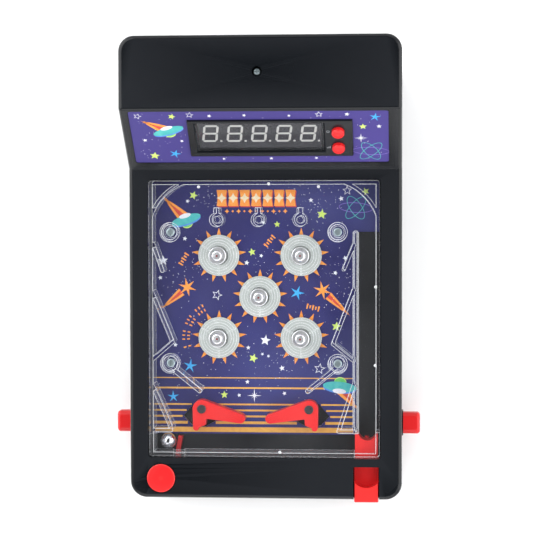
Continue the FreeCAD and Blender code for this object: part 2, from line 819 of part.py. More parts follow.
def make_tray():
    left = opening_left - skirt - 1.0
    right = opening_right + skirt + 1.0
    front = opening_front - skirt - 1.4
    rear = opening_rear + skirt + 1.0
    tray = box(left, right, front, rear, tray_bottom, tray_top)
    tray = tray.fuse(box(notch_side(-1) - wall, notch_side(1) + wall, 0.3, front + 1,
                         tray_bottom, tray_top))
    extras = []
    for sign in (-1, 1):
        edge = left if sign < 0 else right
        for row in tray_screw_rows:
            x = sign * housing_screw_x
            extras.append(box(min(x, edge), max(x, edge), row - 5, row + 5, tray_bottom, tray_top))
            extras.append(disc(x, row, tray_bottom, tray_top, boss_radius + 0.4))
        extras.append(disc(flipper_x(sign), flipper_row, tray_bottom - 9, tray_bottom + 1, 4.2))
        for x in guide_xs(sign):
            extras.append(box(x - guide_thickness / 2, x + guide_thickness / 2, rod_row - 6.5,
                              rod_row + 6.5, button_level - 5, tray_bottom + 0.5))
    for x, y in post_places():
        extras.append(disc(x, y, tray_bottom - 10, tray_bottom + 1, 4.0))
    rib_rear = plunger_rib_row + plunger_rib
    extras.append(box(plunger_x - 7, plunger_x + 7, plunger_rib_row, rib_rear,
                      plunger_spring_level - 4.5, tray_bottom + 0.5))
    extras.append(rod_y(rib_rear - 1, rib_rear + spring_peg_length(), plunger_x,
                        plunger_spring_level, spring_peg_radius))
    tray = tray.fuse(extras)
    cuts = [prism(gate_points(0.5), tray_bottom - 1, 0)]
    slot_front = lug_front - plunger_travel - 0.6
    cuts.append(box(plunger_x - lug_width / 2 - 0.5, plunger_x + lug_width / 2 + 0.5, slot_front,
                    lug_front + lug_thickness + 0.6, tray_bottom - 1, 0))
    for sign in (-1, 1):
        cuts.append(drive_slot(sign))
        cuts.append(disc(flipper_x(sign), flipper_row, tray_bottom - 12, 0, flipper_pin_radius))
        for x in guide_xs(sign):
            cuts.append(rod_x(x - 3, x + 3, rod_row, button_level, rod_radius + running_gap))
        for row in tray_screw_rows:
            cuts.append(disc(sign * housing_screw_x, row, tray_bottom - 1, 0, screw_radius + 0.15))
        edge = left if sign < 0 else right
        deep = edge - sign * 3.0
        cuts.append(box(min(edge + sign, deep), max(edge + sign, deep), rod_row - 11, rod_row + 11,
                        tray_bottom - 1, 0))
    for x, y in bumper_places():
        cuts.append(disc(x, y, tray_bottom - 1, 0, bumper_stem))
    for x, y in post_places():
        cuts.append(disc(x, y, tray_bottom - 12, 0, screw_radius))
    for cutter in cuts:
        tray = tray.cut(cutter)
    return tray.removeSplitter()


# ---- flippers and their buttons -----------------------------------------------------------
def make_left_flipper():
    low = card_top + 0.6
    x = flipper_x(-1)
    droop = math.radians(-flipper_droop)
    tip_x = x + flipper_length * math.cos(droop)
    tip_y = flipper_row + flipper_length * math.sin(droop)
    lean = math.asin((hub_radius - tip_radius) / flipper_length)
    points = []
    for side in (1, -1):
        a = droop + side * (math.pi / 2 - lean)
        points.append(((x + hub_radius * math.cos(a), flipper_row + hub_radius * math.sin(a)),
                       (tip_x + tip_radius * math.cos(a), tip_y + tip_radius * math.sin(a))))
    outline = [points[0][0], points[0][1], (tip_x, tip_y), points[1][1], points[1][0],
               (x, flipper_row)]
    arm = prism(outline, low, flipper_top)
    tail_x = x - hub_radius + tail_radius + 0.3
    tail_y = flipper_row - tail_length
    tail = prism([(x - hub_radius, flipper_row), (tail_x - tail_radius, tail_y),
                  (tail_x + tail_radius, tail_y), (x + 3.2, tail_y + 2.2), (x + 3.7, flipper_row - 6)],
                 low, flipper_top)
    shape = arm.fuse([disc(x, flipper_row, low, flipper_top, hub_radius),
                      disc(tip_x, tip_y, low, flipper_top, tip_radius), tail,
                      disc(tail_x, tail_y, low, flipper_top, tail_radius)]).removeSplitter()
    rim = [edge for edge in shape.Edges if abs(edge.CenterOfMass.z - flipper_top) < 1e-4]
    shape = shape.makeFillet(0.7, rim)
    shape = shape.fuse(disc(x - drive_offset_x, flipper_row - drive_offset_y,
                            button_level - rod_radius, low + 1, drive_radius))
    return shape.cut(disc(x, flipper_row, low - 1, 0, flipper_pin_radius + running_gap))


def make_flipper_pins():
    pins = []
    for sign in (-1, 1):
        pin = spun([(0, tray_bottom - 9), (flipper_pin_radius, tray_bottom - 9),
                    (flipper_pin_radius, flipper_top + 0.1), (flipper_pin_head, flipper_top + 0.1),
                    (flipper_pin_head, flipper_top + 0.9), (flipper_pin_head - 0.5, flipper_top + 1.3),
                    (0, flipper_top + 1.3)])
        pins.append(at(pin, flipper_x(sign), flipper_row, 0))
    return group(pins)


def make_side_button(sign):
    """Cap, flange, rod and pusher pad in one moulding, drawn for the left side."""
    tip = -half_width - button_proud
    inner = -half_width + wall + 0.1
    cap = side_block(tip, inner + flange_thickness, rod_row, button_level, button_width, button_height, 4)
    outer = [edge for edge in cap.Edges if edge.CenterOfMass.x < tip + 1e-3]
    cap = cap.makeFillet(2.6, outer)
    flange = side_block(inner, inner + flange_thickness, rod_row, button_level,
                        button_width + 2 * button_flange, button_height + 2 * button_flange - 0.8, 4)
    face = flipper_centre_x - flipper_half_x - drive_offset_x - drive_radius - drive_gap
    if sign > 0:
        face = -(flipper_x(1) + drive_offset_x + drive_radius + drive_gap)
    rod = rod_x(inner, face - 1, rod_row, button_level, rod_radius)
    pad = box(face - 3, face, rod_row - 4.2, rod_row + 5.2, button_level - 2.5, button_level + 4.5)
    shape = cap.fuse([flange, rod, pad]).removeSplitter()
    return shape if sign < 0 else mirror_x(shape, 0)


def make_button_spring(sign):
    start = half_width - wall - 0.1 - flange_thickness
    end = abs(guide_xs(sign)[0]) + guide_thickness / 2
    length = start - end - 0.1
    shape = coil(3.9, spring_wire, length, 6)
    shape.rotate(V(0, 0, 0), V(0, 1, 0), 90)
    x = -start + 0.05 if sign < 0 else end + 0.05
    shape.translate(V(x, rod_row, button_level))
    return shape


# ---- plunger ------------------------------------------------------------------------------
def make_plunger():
    low = tray_top + running_gap
    handle = box(plunger_x - handle_width / 2, plunger_x + handle_width / 2, -handle_proud,
                 handle_rear, low, handle_top)
    rim = [edge for edge in handle.Edges if edge.CenterOfMass.z > low + 1]
    handle = handle.makeFillet(0.9, rim)
    pocket = disc(plunger_x, finger_row, finger_floor, 5, finger_radius)
    handle = handle.cut(pocket)
    head = box(plunger_x - head_width / 2, plunger_x + head_width / 2, handle_rear - 1, head_rear,
               low, head_top)
    cup = disc(lane_centre, head_rear + cup_offset, low - 1, head_top + 1, cup_radius)
    head = head.cut(cup)
    lug = box(plunger_x - lug_width / 2, plunger_x + lug_width / 2, lug_front,
              lug_front + lug_thickness, low - lug_depth, low + 1)
    stub = rod_y(lug_front - spring_peg_length(), lug_front + 1, plunger_x, plunger_spring_level,
                 spring_peg_radius)
    return handle.fuse([head, lug, stub]).removeSplitter()


def make_plunger_spring():
    start = plunger_rib_row + plunger_rib + 0.05
    shape = coil(plunger_spring_radius, spring_wire, lug_front - 0.05 - start, 9)
    shape.rotate(V(0, 0, 0), V(1, 0, 0), -90)
    shape.translate(V(plunger_x, start, plunger_spring_level))
    return shape


# ---- ball button, gate and ball -----------------------------------------------------------
def make_ball_button():
    r = ball_button_radius
    skin = 1.8
    body = spun([(0, -skin), (r - skin, -skin), (r - skin, -ball_button_skirt), (r, -ball_button_skirt),
                 (r, 0.2), (r - 0.6, 0.55), (r * 0.6, ball_button_dome * 0.85), (0, ball_button_dome)])
    stem = disc(0, 0, stem_end, -skin + 0.2, stem_radius)
    spigot = disc(0, 0, stem_end - gate_thickness + 0.3, stem_end + 0.1, 2.2)
    shape = body.fuse([stem, spigot]).cut(disc(0, 0, stem_end - 9, stem_end + 6, 1.0))
    return at(shape.removeSplitter(), ball_button_x, ball_button_y, 0)


def make_ball_gate():
    low = stem_end - gate_thickness
    hub = disc(ball_button_x, ball_button_y, low, stem_end, 5.5)
    arm = bar(ball_button_x, ball_button_y, gate_front_x, gate_front_y + 2, low, stem_end, 5.0)
    blade = prism(gate_points(0), low, gate_top)
    shape = hub.fuse([arm, blade]).removeSplitter()
    return shape.cut(disc(ball_button_x, ball_button_y, low - 1, stem_end + 1, 2.2 + running_gap))


def make_ball_button_spring():
    shape = coil(6.4, 0.8, cup_depth - 1.8 - 0.1, 5)
    return at(shape, ball_button_x, ball_button_y, -cup_depth + 0.05)


def make_ball():
    return Part.makeSphere(ball_radius, V(ball_x, ball_y, tray_top + ball_radius + 0.02))


# ---- bumpers ------------------------------------------------------------------------------
def make_bumper_skirt():
    """Stepped translucent saucer with a sprung hub, three ribs on its top."""
    low = card_top + skirt_lift
    hub = low + 0.9
    outer = [(bumper_stem + 0.6, low), (skirt_radius - 0.6, low), (skirt_radius, low + 0.5),
             (skirt_radius, low + 1.7), (skirt_radius - 0.5, low + 2.2), (14.4, low + 2.4),
             (14.3, low + 2.9), (12.2, low + 3.1), (12.1, low + 3.6), (10.2, low + 3.8),
             (10.1, low + 4.3), (skirt_bore + 0.4, low + 4.5), (skirt_bore, low + 4.1),
             (skirt_bore, hub), (bumper_stem + 0.6, hub)]
    shape = spun(outer)
    ribs = []
    for turn in (-90, 30, 150):
        blade = Part.makeBox(skirt_radius - 1.0 - skirt_bore - 0.3, 0.9, 3.4,
                             V(skirt_bore + 0.3, -0.45, low + 1.0))
        taper = spun([(skirt_bore, low + 0.5), (skirt_radius - 0.7, low + 0.5),
                      (skirt_radius - 0.7, low + 2.5), (skirt_bore, low + 4.9)])
        blade = blade.fuse(Part.makeBox(skirt_radius, 0.9, 2, V(0, -0.45, low + 4.0)))
        blade = blade.common(taper)
        blade.rotate(V(0, 0, 0), V(0, 0, 1), turn)
        ribs.append(blade)
    return shape.fuse(ribs).removeSplitter()


def make_bumper_post():
    r = bumper_head
    low = tray_bottom - 5.2
    neck = bumper_top - 4.6
    bore = lamp_radius + running_gap
    return spun([(bore, low), (bumper_stem, low), (bumper_stem, neck - 0.8), (bumper_washer, neck - 0.8),
                 (bumper_washer, neck - 0.3), (bumper_washer - 0.5, neck), (r, neck), (r, bumper_top - 1.6),
                 (r - 0.5, bumper_top - 0.7), (r - 1.5, bumper_top - 0.15), (bore, bumper_top)])


def make_bumper_spring():
    low = card_top + skirt_lift + 0.9 + 0.05
    high = bumper_top - 4.6 - 0.8 - 0.05
    return at(coil(bumper_spring_radius, bumper_spring_wire, high - low, 5), 0, 0, low)


def make_led():
    return spun([(0, bumper_top - 9), (lamp_radius, bumper_top - 9), (lamp_radius, bumper_top - 0.1),
                 (lamp_radius - 0.3, bumper_top + 0.15), (0, bumper_top + 0.3)])


def make_nut():
    points = [(5.6 * math.cos(math.radians(60 * n)), 5.6 * math.sin(math.radians(60 * n)))
              for n in range(6)]
    nut = prism(points, tray_bottom - board_thickness - 2.6, tray_bottom - board_thickness)
    return nut.cut(disc(0, 0, tray_bottom - 9, 0, bumper_stem))


def make_bumper_board():
    half = bumper_pitch + 9
    board = box(bumper_x - half, bumper_x + half, bumper_y - half, bumper_y + half,
                tray_bottom - board_thickness, tray_bottom)
    for x, y in bumper_places():
        board = board.cut(disc(x, y, tray_bottom - 9, 0, bumper_stem))
    return board


# ---- header pieces (face frame) -----------------------------------------------------------
def make_label():
    label = round_box(label_left + 0.2, label_right - 0.2, label_low + 0.2, label_high - 0.2,
                      -label_depth, -label_depth + label_thickness, 1.8)
    hole = box(bezel_left - 0.15, bezel_right + 0.15, bezel_low - 0.15, bezel_high + 0.15, -3, 3)
    return on_face(label.cut(hole))


def make_bezel():
    bezel = round_box(bezel_left, bezel_right, bezel_low, bezel_high, -label_depth, bezel_proud, 1.2)
    top = [edge for edge in bezel.Edges if edge.CenterOfMass.z > bezel_proud - 1e-3]
    bezel = bezel.makeFillet(0.6, top)
    lens = box(window_left, window_right, window_low, window_high, -3, 3)
    bevel = Part.makeLoft([frame_wire(1.3, bezel_proud + 0.01), frame_wire(0, bezel_proud - 1.1)], True)
    bezel = bezel.cut([lens, bevel])
    for row in small_button_rows:
        bezel = bezel.cut(disc(small_button_x, row, -3, 3, small_button_radius + seam_gap))
    return on_face(bezel)


def frame_wire(grow, level):
    points = [(window_left - grow, window_low - grow), (window_right + grow, window_low - grow),
              (window_right + grow, window_high + grow), (window_left - grow, window_high + grow)]
    corners = [V(x, y, level) for x, y in points]
    return Part.makePolygon(corners + corners[:1])


def make_window():
    lens = box(window_left + 0.1, window_right - 0.1, window_low + 0.1, window_high - 0.1,
               -label_depth, -label_depth + window_thickness)
    return on_face(lens)


def module_face():
    return -label_depth - 0.35


def make_display_module():
    body = box(window_left + 1.8, window_right - 1.8, window_low + 1.8, window_high - 1.8,
               board_level, module_face())
    return on_face(body)


def digit_segments(centre):
    """Seven leaning bars and a point, as outlines in the face frame."""
    half = digit_width / 2
    high = digit_height
    lean = math.tan(math.radians(digit_lean))
    t = segment / 2
    shapes = []

    def slanted(points):
        return [(centre + x + (y - high / 2) * lean, digit_low + y) for x, y in points]

    for y in (t, high / 2, high - t):
        a = half - t - segment_gap
        shapes.append(slanted([(-a - t * 0.5, y), (-a + t * 0.5, y - t), (a - t * 0.5, y - t),
                               (a + t * 0.5, y), (a - t * 0.5, y + t), (-a + t * 0.5, y + t)]))
    for x in (-half + t, half - t):
        for low, top in ((t, high / 2), (high / 2, high - t)):
            a = low + segment_gap + t * 0.5
            b = top - segment_gap - t * 0.5
            shapes.append(slanted([(x, a - t * 0.5), (x + t, a + t * 0.5), (x + t, b - t * 0.5),
                                   (x, b + t * 0.5), (x - t, b - t * 0.5), (x - t, a + t * 0.5)]))
    return shapes


def make_segments():
    level = module_face()
    solids = []
    for number in range(digit_count):
        centre = digit_first_x + number * digit_pitch
        for outline in digit_segments(centre):
            solids.append(prism(outline, level, level + 0.2))
        solids.append(disc(centre + digit_width / 2 + segment, digit_low + segment / 2, level,
                           level + 0.2, segment / 2))
    return on_face(group(solids))


def make_small_button(row):
    r = small_button_radius
    top = bezel_proud + small_button_proud
    cap = spun([(0, -label_depth - wall), (r, -label_depth - wall), (r, top - 1.7), (r - 0.5, top - 0.8),
                (r - 1.7, top - 0.2), (0, top)])
    back = -label_depth - wall + label_depth - 0.1
    flange = disc(0, 0, back - 1.2, back, r + 1.4)
    stem = disc(0, 0, board_level + 2.2, back - 1, 1.7)
    return on_face(at(cap.fuse([flange, stem]).removeSplitter(), small_button_x, row, 0))


def make_tact_switches():
    switches = []
    for row in small_button_rows:
        body = box(small_button_x - 3, small_button_x + 3, row - 3, row + 3, board_level,
                   board_level + 3.0)
        switches.append(body.cut(disc(small_button_x, row, board_level + 0.8, board_level + 9,
                                      1.7 + seam_gap)))
    return on_face(group(switches))


def board_posts():
    xs = (bezel_left - 12, bezel_right + 6)
    ys = (bezel_low + 3, bezel_high - 3)
    return [(x, y) for x in xs for y in ys]


def make_circuit_board():
    board = box(bezel_left - 17, bezel_right + 11, bezel_low - 2, bezel_high + 2,
                board_level - board_thickness, board_level)
    chip = box(-14, 8, 30, 40, board_level - board_thickness - 1.8, board_level - board_thickness)
    board = board.fuse(chip)
    for x, y in board_posts():
        board = board.cut(disc(x, y, -30, 0, 1.3))
    return on_face(board)


def make_board_standoffs():
    """Spacers between the header's face and the circuit board, with their screws' cores."""
    solids = []
    for x, y in board_posts():
        solids.append(disc(x, y, board_level, -wall, 2.6).fuse(
            disc(x, y, board_level - board_thickness, board_level, 1.25)).fuse(
            disc(x, y, board_level - board_thickness - 1.4, board_level - board_thickness, 2.4)))
    return on_face(group(solids))


# ---- inside the base ----------------------------------------------------------------------
def make_speaker():
    z = base_top
    r = speaker_radius
    return at(spun([(0, z + speaker_height), (0, z + 3.0), (9, z + 2.4), (r - 3, z + 0.8), (r - 2, z),
                    (r, z), (r, z + 3), (r - 6, z + 7), (r - 8, z + speaker_height),
                    (0, z + speaker_height)][:-1]), speaker_x, speaker_y, 0)


def cell_centres():
    pitch = 2 * cell_radius + 0.6
    return [battery_y + pitch * (n + 0.5) for n in range(cell_count)]


def make_batteries():
    cells = []
    level = base_underside + 1.4 + cell_radius
    for number, y in enumerate(cell_centres()):
        turn = 1 if number % 2 == 0 else -1
        can = rod_x(battery_x - cell_length / 2 + 0.5, battery_x + cell_length / 2 - 1.5, y, level,
                    cell_radius)
        nub = rod_x(battery_x + cell_length / 2 - 1.6, battery_x + cell_length / 2, y, level, 2.7)
        cell = can.fuse(nub).removeSplitter()
        if turn < 0:
            cell = mirror_x(cell, battery_x)
        cells.append(cell)
    return group(cells)


def make_contacts():
    contacts = []
    level = base_underside + 1.4 + cell_radius
    for y in cell_centres():
        for sign in (-1, 1):
            x = battery_x + sign * (cell_length / 2 + 3.5)
            contacts.append(box(min(x, x - sign * 0.5), max(x, x - sign * 0.5), y - 5, y + 5,
                                level - 5, level + 5))
    coils = []
    for number, y in enumerate(cell_centres()):
        sign = -1 if number % 2 == 0 else 1
        spring = coil(3.6, 0.6, 3.2, 3)
        spring.rotate(V(0, 0, 0), V(0, 1, 0), 90)
        x = battery_x + sign * (cell_length / 2 + 3.0)
        x0 = x if sign < 0 else x - 3.2
        spring.translate(V(x0, y, level))
        coils.append(spring)
    return group(contacts + coils)


# ---- save ---------------------------------------------------------------------------------
def main():
    os.makedirs("parts", exist_ok=True)
    deck = {}
    table = {}
    table["upper_housing"] = make_upper_housing()
    table["lower_housing"] = make_lower_housing()
    table["battery_door"] = make_battery_door()
    table["rubber_feet"] = make_feet()
    table["speaker"] = make_speaker()
    table["batteries"] = make_batteries()
    table["battery_contacts"] = make_contacts()
    down = pan_screw(screw_radius, 14, screw_head_radius, screw_head_height)
    up = down.copy()
    up.rotate(V(0, 0, 0), V(1, 0, 0), 180)
    seat = base_underside + screw_head_height + 0.4
    table["housing_screws"] = group([at(up, sign * housing_screw_x, row, seat)
                                     for sign in (-1, 1) for row in housing_screw_rows])
    door_screw = pan_screw(screw_radius, 6, screw_head_radius, 1.6)
    door_screw.rotate(V(0, 0, 0), V(1, 0, 0), 180)
    table["battery_door_screw"] = at(door_screw, battery_x, battery_screw_y(), base_underside - 1.2)
    table["header_screw"] = at(down, top_screw_x, top_screw_y, top_well_floor())
    deck["clear_cover"] = make_clear_cover()
    deck["playfield_card"] = make_card()
    deck["playfield_tray"] = make_tray()
    cover_screw = pan_screw(screw_radius, 25, 3.5, 2.4)
    deck["cover_screws"] = group([at(cover_screw, x, y, cover_top - well_depth)
                                  for x, y in post_places()])
    short = pan_screw(screw_radius, 9, screw_head_radius, screw_head_height)
    short.rotate(V(0, 0, 0), V(1, 0, 0), 180)
    deck["tray_screws"] = group([at(short, sign * housing_screw_x, row, tray_bottom)
                                 for sign in (-1, 1) for row in tray_screw_rows])
    deck["flipper_left"] = make_left_flipper()
    deck["flipper_right"] = mirror_x(make_left_flipper(), flipper_centre_x)
    deck["flipper_pins"] = make_flipper_pins()
    deck["flipper_button_left"] = make_side_button(-1)
    deck["flipper_button_right"] = make_side_button(1)
    deck["flipper_spring_left"] = make_button_spring(-1)
    deck["flipper_spring_right"] = make_button_spring(1)
    deck["plunger"] = make_plunger()
    deck["plunger_spring"] = make_plunger_spring()
    deck["ball_button"] = make_ball_button()
    deck["ball_gate"] = make_ball_gate()
    gate_screw = pan_screw(1.0, 7, 3.2, 1.4)
    gate_screw.rotate(V(0, 0, 0), V(1, 0, 0), 180)
    deck["gate_screw"] = at(gate_screw, ball_button_x, ball_button_y, stem_end - gate_thickness)
    deck["ball_button_spring"] = make_ball_button_spring()
    deck["ball"] = make_ball()
    for number, (x, y) in enumerate(bumper_places(), 1):
        deck["bumper_skirt_%d" % number] = at(make_bumper_skirt(), x, y, 0)
        deck["bumper_post_%d" % number] = at(make_bumper_post(), x, y, 0)
        deck["bumper_spring_%d" % number] = at(make_bumper_spring(), x, y, 0)
    deck["bumper_lamps"] = group([at(make_led(), x, y, 0) for x, y in bumper_places()])
    deck["bumper_nuts"] = group([at(make_nut(), x, y, 0) for x, y in bumper_places()])
    deck["bumper_board"] = make_bumper_board()
    deck["header_label"] = make_label()
    deck["display_bezel"] = make_bezel()
    deck["display_window"] = make_window()
    deck["display_module"] = make_display_module()
    deck["display_segments"] = make_segments()
    deck["sound_button"] = make_small_button(small_button_rows[0])
    deck["power_button"] = make_small_button(small_button_rows[1])
    deck["tact_switches"] = make_tact_switches()
    deck["circuit_board"] = make_circuit_board()
    deck["board_screws"] = make_board_standoffs()
    for name, shape in deck.items():
        table[name] = to_table(shape)
    front = min(shape.BoundBox.YMin for shape in table.values())
    rear = max(shape.BoundBox.YMax for shape in table.values())
    for name, shape in sorted(table.items()):
        placed = at(shape, 0, -(front + rear) / 2, 0)
        placed.exportStep("parts/%s.step" % name)
        print("%-22s solids %2d valid %s volume %10.1f" % (
            name, len(placed.Solids), placed.isValid(), placed.Volume))
    print("travel of a side button %.3f" % button_travel)


main()
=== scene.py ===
import bmesh
import bpy
import json
import math
import numpy as np
from mathutils import Matrix, Vector


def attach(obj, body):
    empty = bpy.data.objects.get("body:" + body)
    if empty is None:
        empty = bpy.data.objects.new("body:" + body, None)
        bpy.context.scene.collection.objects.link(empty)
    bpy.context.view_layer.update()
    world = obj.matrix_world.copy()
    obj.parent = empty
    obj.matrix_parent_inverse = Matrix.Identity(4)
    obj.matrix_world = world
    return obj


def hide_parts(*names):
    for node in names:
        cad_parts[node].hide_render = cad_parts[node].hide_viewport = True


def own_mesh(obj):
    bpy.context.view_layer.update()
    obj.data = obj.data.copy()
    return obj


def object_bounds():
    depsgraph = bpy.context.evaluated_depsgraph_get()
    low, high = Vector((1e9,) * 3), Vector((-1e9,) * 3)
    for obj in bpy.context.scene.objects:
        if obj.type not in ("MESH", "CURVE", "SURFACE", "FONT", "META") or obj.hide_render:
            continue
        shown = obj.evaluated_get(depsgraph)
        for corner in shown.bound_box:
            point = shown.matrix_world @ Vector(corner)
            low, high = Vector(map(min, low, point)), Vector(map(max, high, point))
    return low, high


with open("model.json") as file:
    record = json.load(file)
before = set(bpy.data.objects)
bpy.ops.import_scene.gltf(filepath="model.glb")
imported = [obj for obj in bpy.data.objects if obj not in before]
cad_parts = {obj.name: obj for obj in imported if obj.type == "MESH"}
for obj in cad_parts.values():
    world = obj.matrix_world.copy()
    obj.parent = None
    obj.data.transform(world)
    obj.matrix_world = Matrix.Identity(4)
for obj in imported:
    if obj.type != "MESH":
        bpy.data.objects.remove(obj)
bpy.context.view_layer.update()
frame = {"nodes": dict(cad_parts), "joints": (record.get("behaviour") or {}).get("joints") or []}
nodes = frame["nodes"]
print("frame loaded:", len(nodes), "nodes")

# where things lie, in metres; "deck" is square to the playing deck, origin at its front edge
layout = {
    "slope": 6.5,              # degrees
    "pivotX": -0.0517,         # left flipper's pin on the deck
    "pivotY": 0.06895,
    "pivotZ": -0.017,
    "cardTop": -0.023,
    "headerFoot": 0.2588,      # foot of the header's face
    "headerRun": 0.045,
    "headerRise": 0.052,
    "labelTop": -0.0004,
}
slopeAngle = math.radians(layout["slope"])
faceAngle = math.atan2(layout["headerRise"], layout["headerRun"])
joints = {joint["name"]: joint for joint in frame["joints"]}
pivot = joints["left_flipper_turn"]["pos_m"]
deckShiftY = pivot[1] - (layout["pivotY"] * math.cos(slopeAngle) - layout["pivotZ"] * math.sin(slopeAngle))
deckShiftZ = pivot[2] - (layout["pivotY"] * math.sin(slopeAngle) + layout["pivotZ"] * math.cos(slopeAngle))


def onDeck(points):
    # turn by the deck's slope about X, then lift and shift to the model's place
    p = np.asarray(points, float)
    c, s = math.cos(slopeAngle), math.sin(slopeAngle)
    return np.stack([p[..., 0], p[..., 1] * c - p[..., 2] * s + deckShiftY,
                     p[..., 1] * s + p[..., 2] * c + deckShiftZ], axis=-1)


def onHeader(points):
    # x stays, y runs up the header's face, z stands out of it
    p = np.asarray(points, float)
    c, s = math.cos(faceAngle), math.sin(faceAngle)
    return onDeck(np.stack([p[..., 0], layout["headerFoot"] + p[..., 1] * c - p[..., 2] * s,
                            p[..., 1] * s + p[..., 2] * c], axis=-1))


# node helpers for the materials
def newMaterial(name):
    mat = bpy.data.materials.new(name)
    mat.use_nodes = True
    tree = mat.node_tree
    shader = tree.nodes["Principled BSDF"]
    return mat, tree, shader


def addNode(tree, kind, **values):
    node = tree.nodes.new(kind)
    for key, value in values.items():
        if key in node.inputs:
            node.inputs[key].default_value = value
        else:
            setattr(node, key, value)
    return node


def placeNode(tree, scale=(1, 1, 1), turn=(0, 0, 0)):
    coords = addNode(tree, "ShaderNodeTexCoord")
    mapping = addNode(tree, "ShaderNodeMapping")
    mapping.inputs["Scale"].default_value = scale
    mapping.inputs["Rotation"].default_value = turn
    tree.links.new(coords.outputs["Object"], mapping.inputs["Vector"])
    return mapping.outputs["Vector"]


def noiseNode(tree, place, scale, detail=4.0, rough=0.55):
    node = addNode(tree, "ShaderNodeTexNoise", Scale=scale, Detail=detail, Roughness=rough)
    tree.links.new(place, node.inputs["Vector"])
    return node.outputs["Fac"]


def rangeNode(tree, value, fromLow, fromHigh, toLow, toHigh):
    node = addNode(tree, "ShaderNodeMapRange")
    node.inputs["From Min"].default_value = fromLow
    node.inputs["From Max"].default_value = fromHigh
    node.inputs["To Min"].default_value = toLow
    node.inputs["To Max"].default_value = toHigh
    tree.links.new(value, node.inputs["Value"])
    return node.outputs["Result"]


def mixColour(tree, fac, first, second):
    node = addNode(tree, "ShaderNodeMix", data_type="RGBA", blend_type="MIX")
    for socket, value in ((node.inputs[0], fac), (node.inputs[6], first), (node.inputs[7], second)):
        if isinstance(value, (int, float, tuple)):
            socket.default_value = value
        else:
            tree.links.new(value, socket)
    return node.outputs[2]


def bumpNode(tree, height, strength, distance, normal=None):
    node = addNode(tree, "ShaderNodeBump", Strength=strength, Distance=distance)
    tree.links.new(height, node.inputs["Height"])
    if normal is not None:
        tree.links.new(normal, node.inputs["Normal"])
    return node.outputs["Normal"]


def cornerMask(tree, radius, keen=0.06):
    # 1 along the edges of a piece, 0 on its faces: the true normal against one averaged over a small radius
    soft = addNode(tree, "ShaderNodeBevel", Radius=radius)
    soft.samples = 6
    geometry = addNode(tree, "ShaderNodeNewGeometry")
    match = addNode(tree, "ShaderNodeVectorMath", operation="DOT_PRODUCT")
    tree.links.new(soft.outputs["Normal"], match.inputs[0])
    tree.links.new(geometry.outputs["True Normal"], match.inputs[1])
    return rangeNode(tree, match.outputs["Value"], 1.0 - keen, 1.0 - keen * 0.2, 1.0, 0.0)


def mouldedPlastic(name, colour, rough=(0.16, 0.3), edgeWearAndHighlightColour=(0.1, 0.1, 0.1, 1), coat=0.0, grain=2200.0,
                   grainDepth=0.00001, edgeWearAndHighlight=0.35, specular=0.5):
    # a moulding: slow sink-mark ripple, fine handling marks in the gloss, edges made a little lighter, partly as
    # rubbing wear and partly as a painted highlight
    mat, tree, shader = newMaterial(name)
    place = placeNode(tree)
    slow = noiseNode(tree, place, 14.0, 2.0)
    marks = noiseNode(tree, placeNode(tree, (1, 4, 1), (0.3, 0.2, 0.7)), 180.0, 6.0, 0.7)
    fine = noiseNode(tree, place, grain, 3.0)
    geometry = addNode(tree, "ShaderNodeNewGeometry")
    # painted highlight and wear: convex edges are mixed towards a paler colour
    edge = rangeNode(tree, geometry.outputs["Pointiness"], 0.51, 0.58, 0.0, edgeWearAndHighlight)
    shade = mixColour(tree, rangeNode(tree, slow, 0.3, 0.7, 0.0, 1.0), tuple(0.9 * c for c in colour[:3]) + (1,),
                      tuple(min(1.0, 1.1 * c) for c in colour[:3]) + (1,))
    tree.links.new(mixColour(tree, edge, shade, edgeWearAndHighlightColour), shader.inputs["Base Color"])
    tree.links.new(rangeNode(tree, marks, 0.3, 0.75, rough[0], rough[1]), shader.inputs["Roughness"])
    ripple = bumpNode(tree, slow, 0.25, 0.0004)
    tree.links.new(bumpNode(tree, fine, 0.2, grainDepth, ripple), shader.inputs["Normal"])
    shader.inputs["Specular IOR Level"].default_value = specular
    shader.inputs["Coat Weight"].default_value = coat
    shader.inputs["Coat Roughness"].default_value = 0.08
    return mat


def metalFinish(name, colour, rough, scratch=900.0, stretch=(1, 14, 1)):
    mat, tree, shader = newMaterial(name)
    lines = noiseNode(tree, placeNode(tree, stretch), scratch, 5.0, 0.7)
    cloud = noiseNode(tree, placeNode(tree), 60.0, 3.0)
    darker = tuple(0.85 * c for c in colour[:3]) + (1,)
    tree.links.new(mixColour(tree, cloud, darker, colour), shader.inputs["Base Color"])
    tree.links.new(rangeNode(tree, lines, 0.3, 0.7, rough[0], rough[1]), shader.inputs["Roughness"])
    tree.links.new(bumpNode(tree, lines, 0.08, 0.00002), shader.inputs["Normal"])
    shader.inputs["Metallic"].default_value = 1.0
    return mat


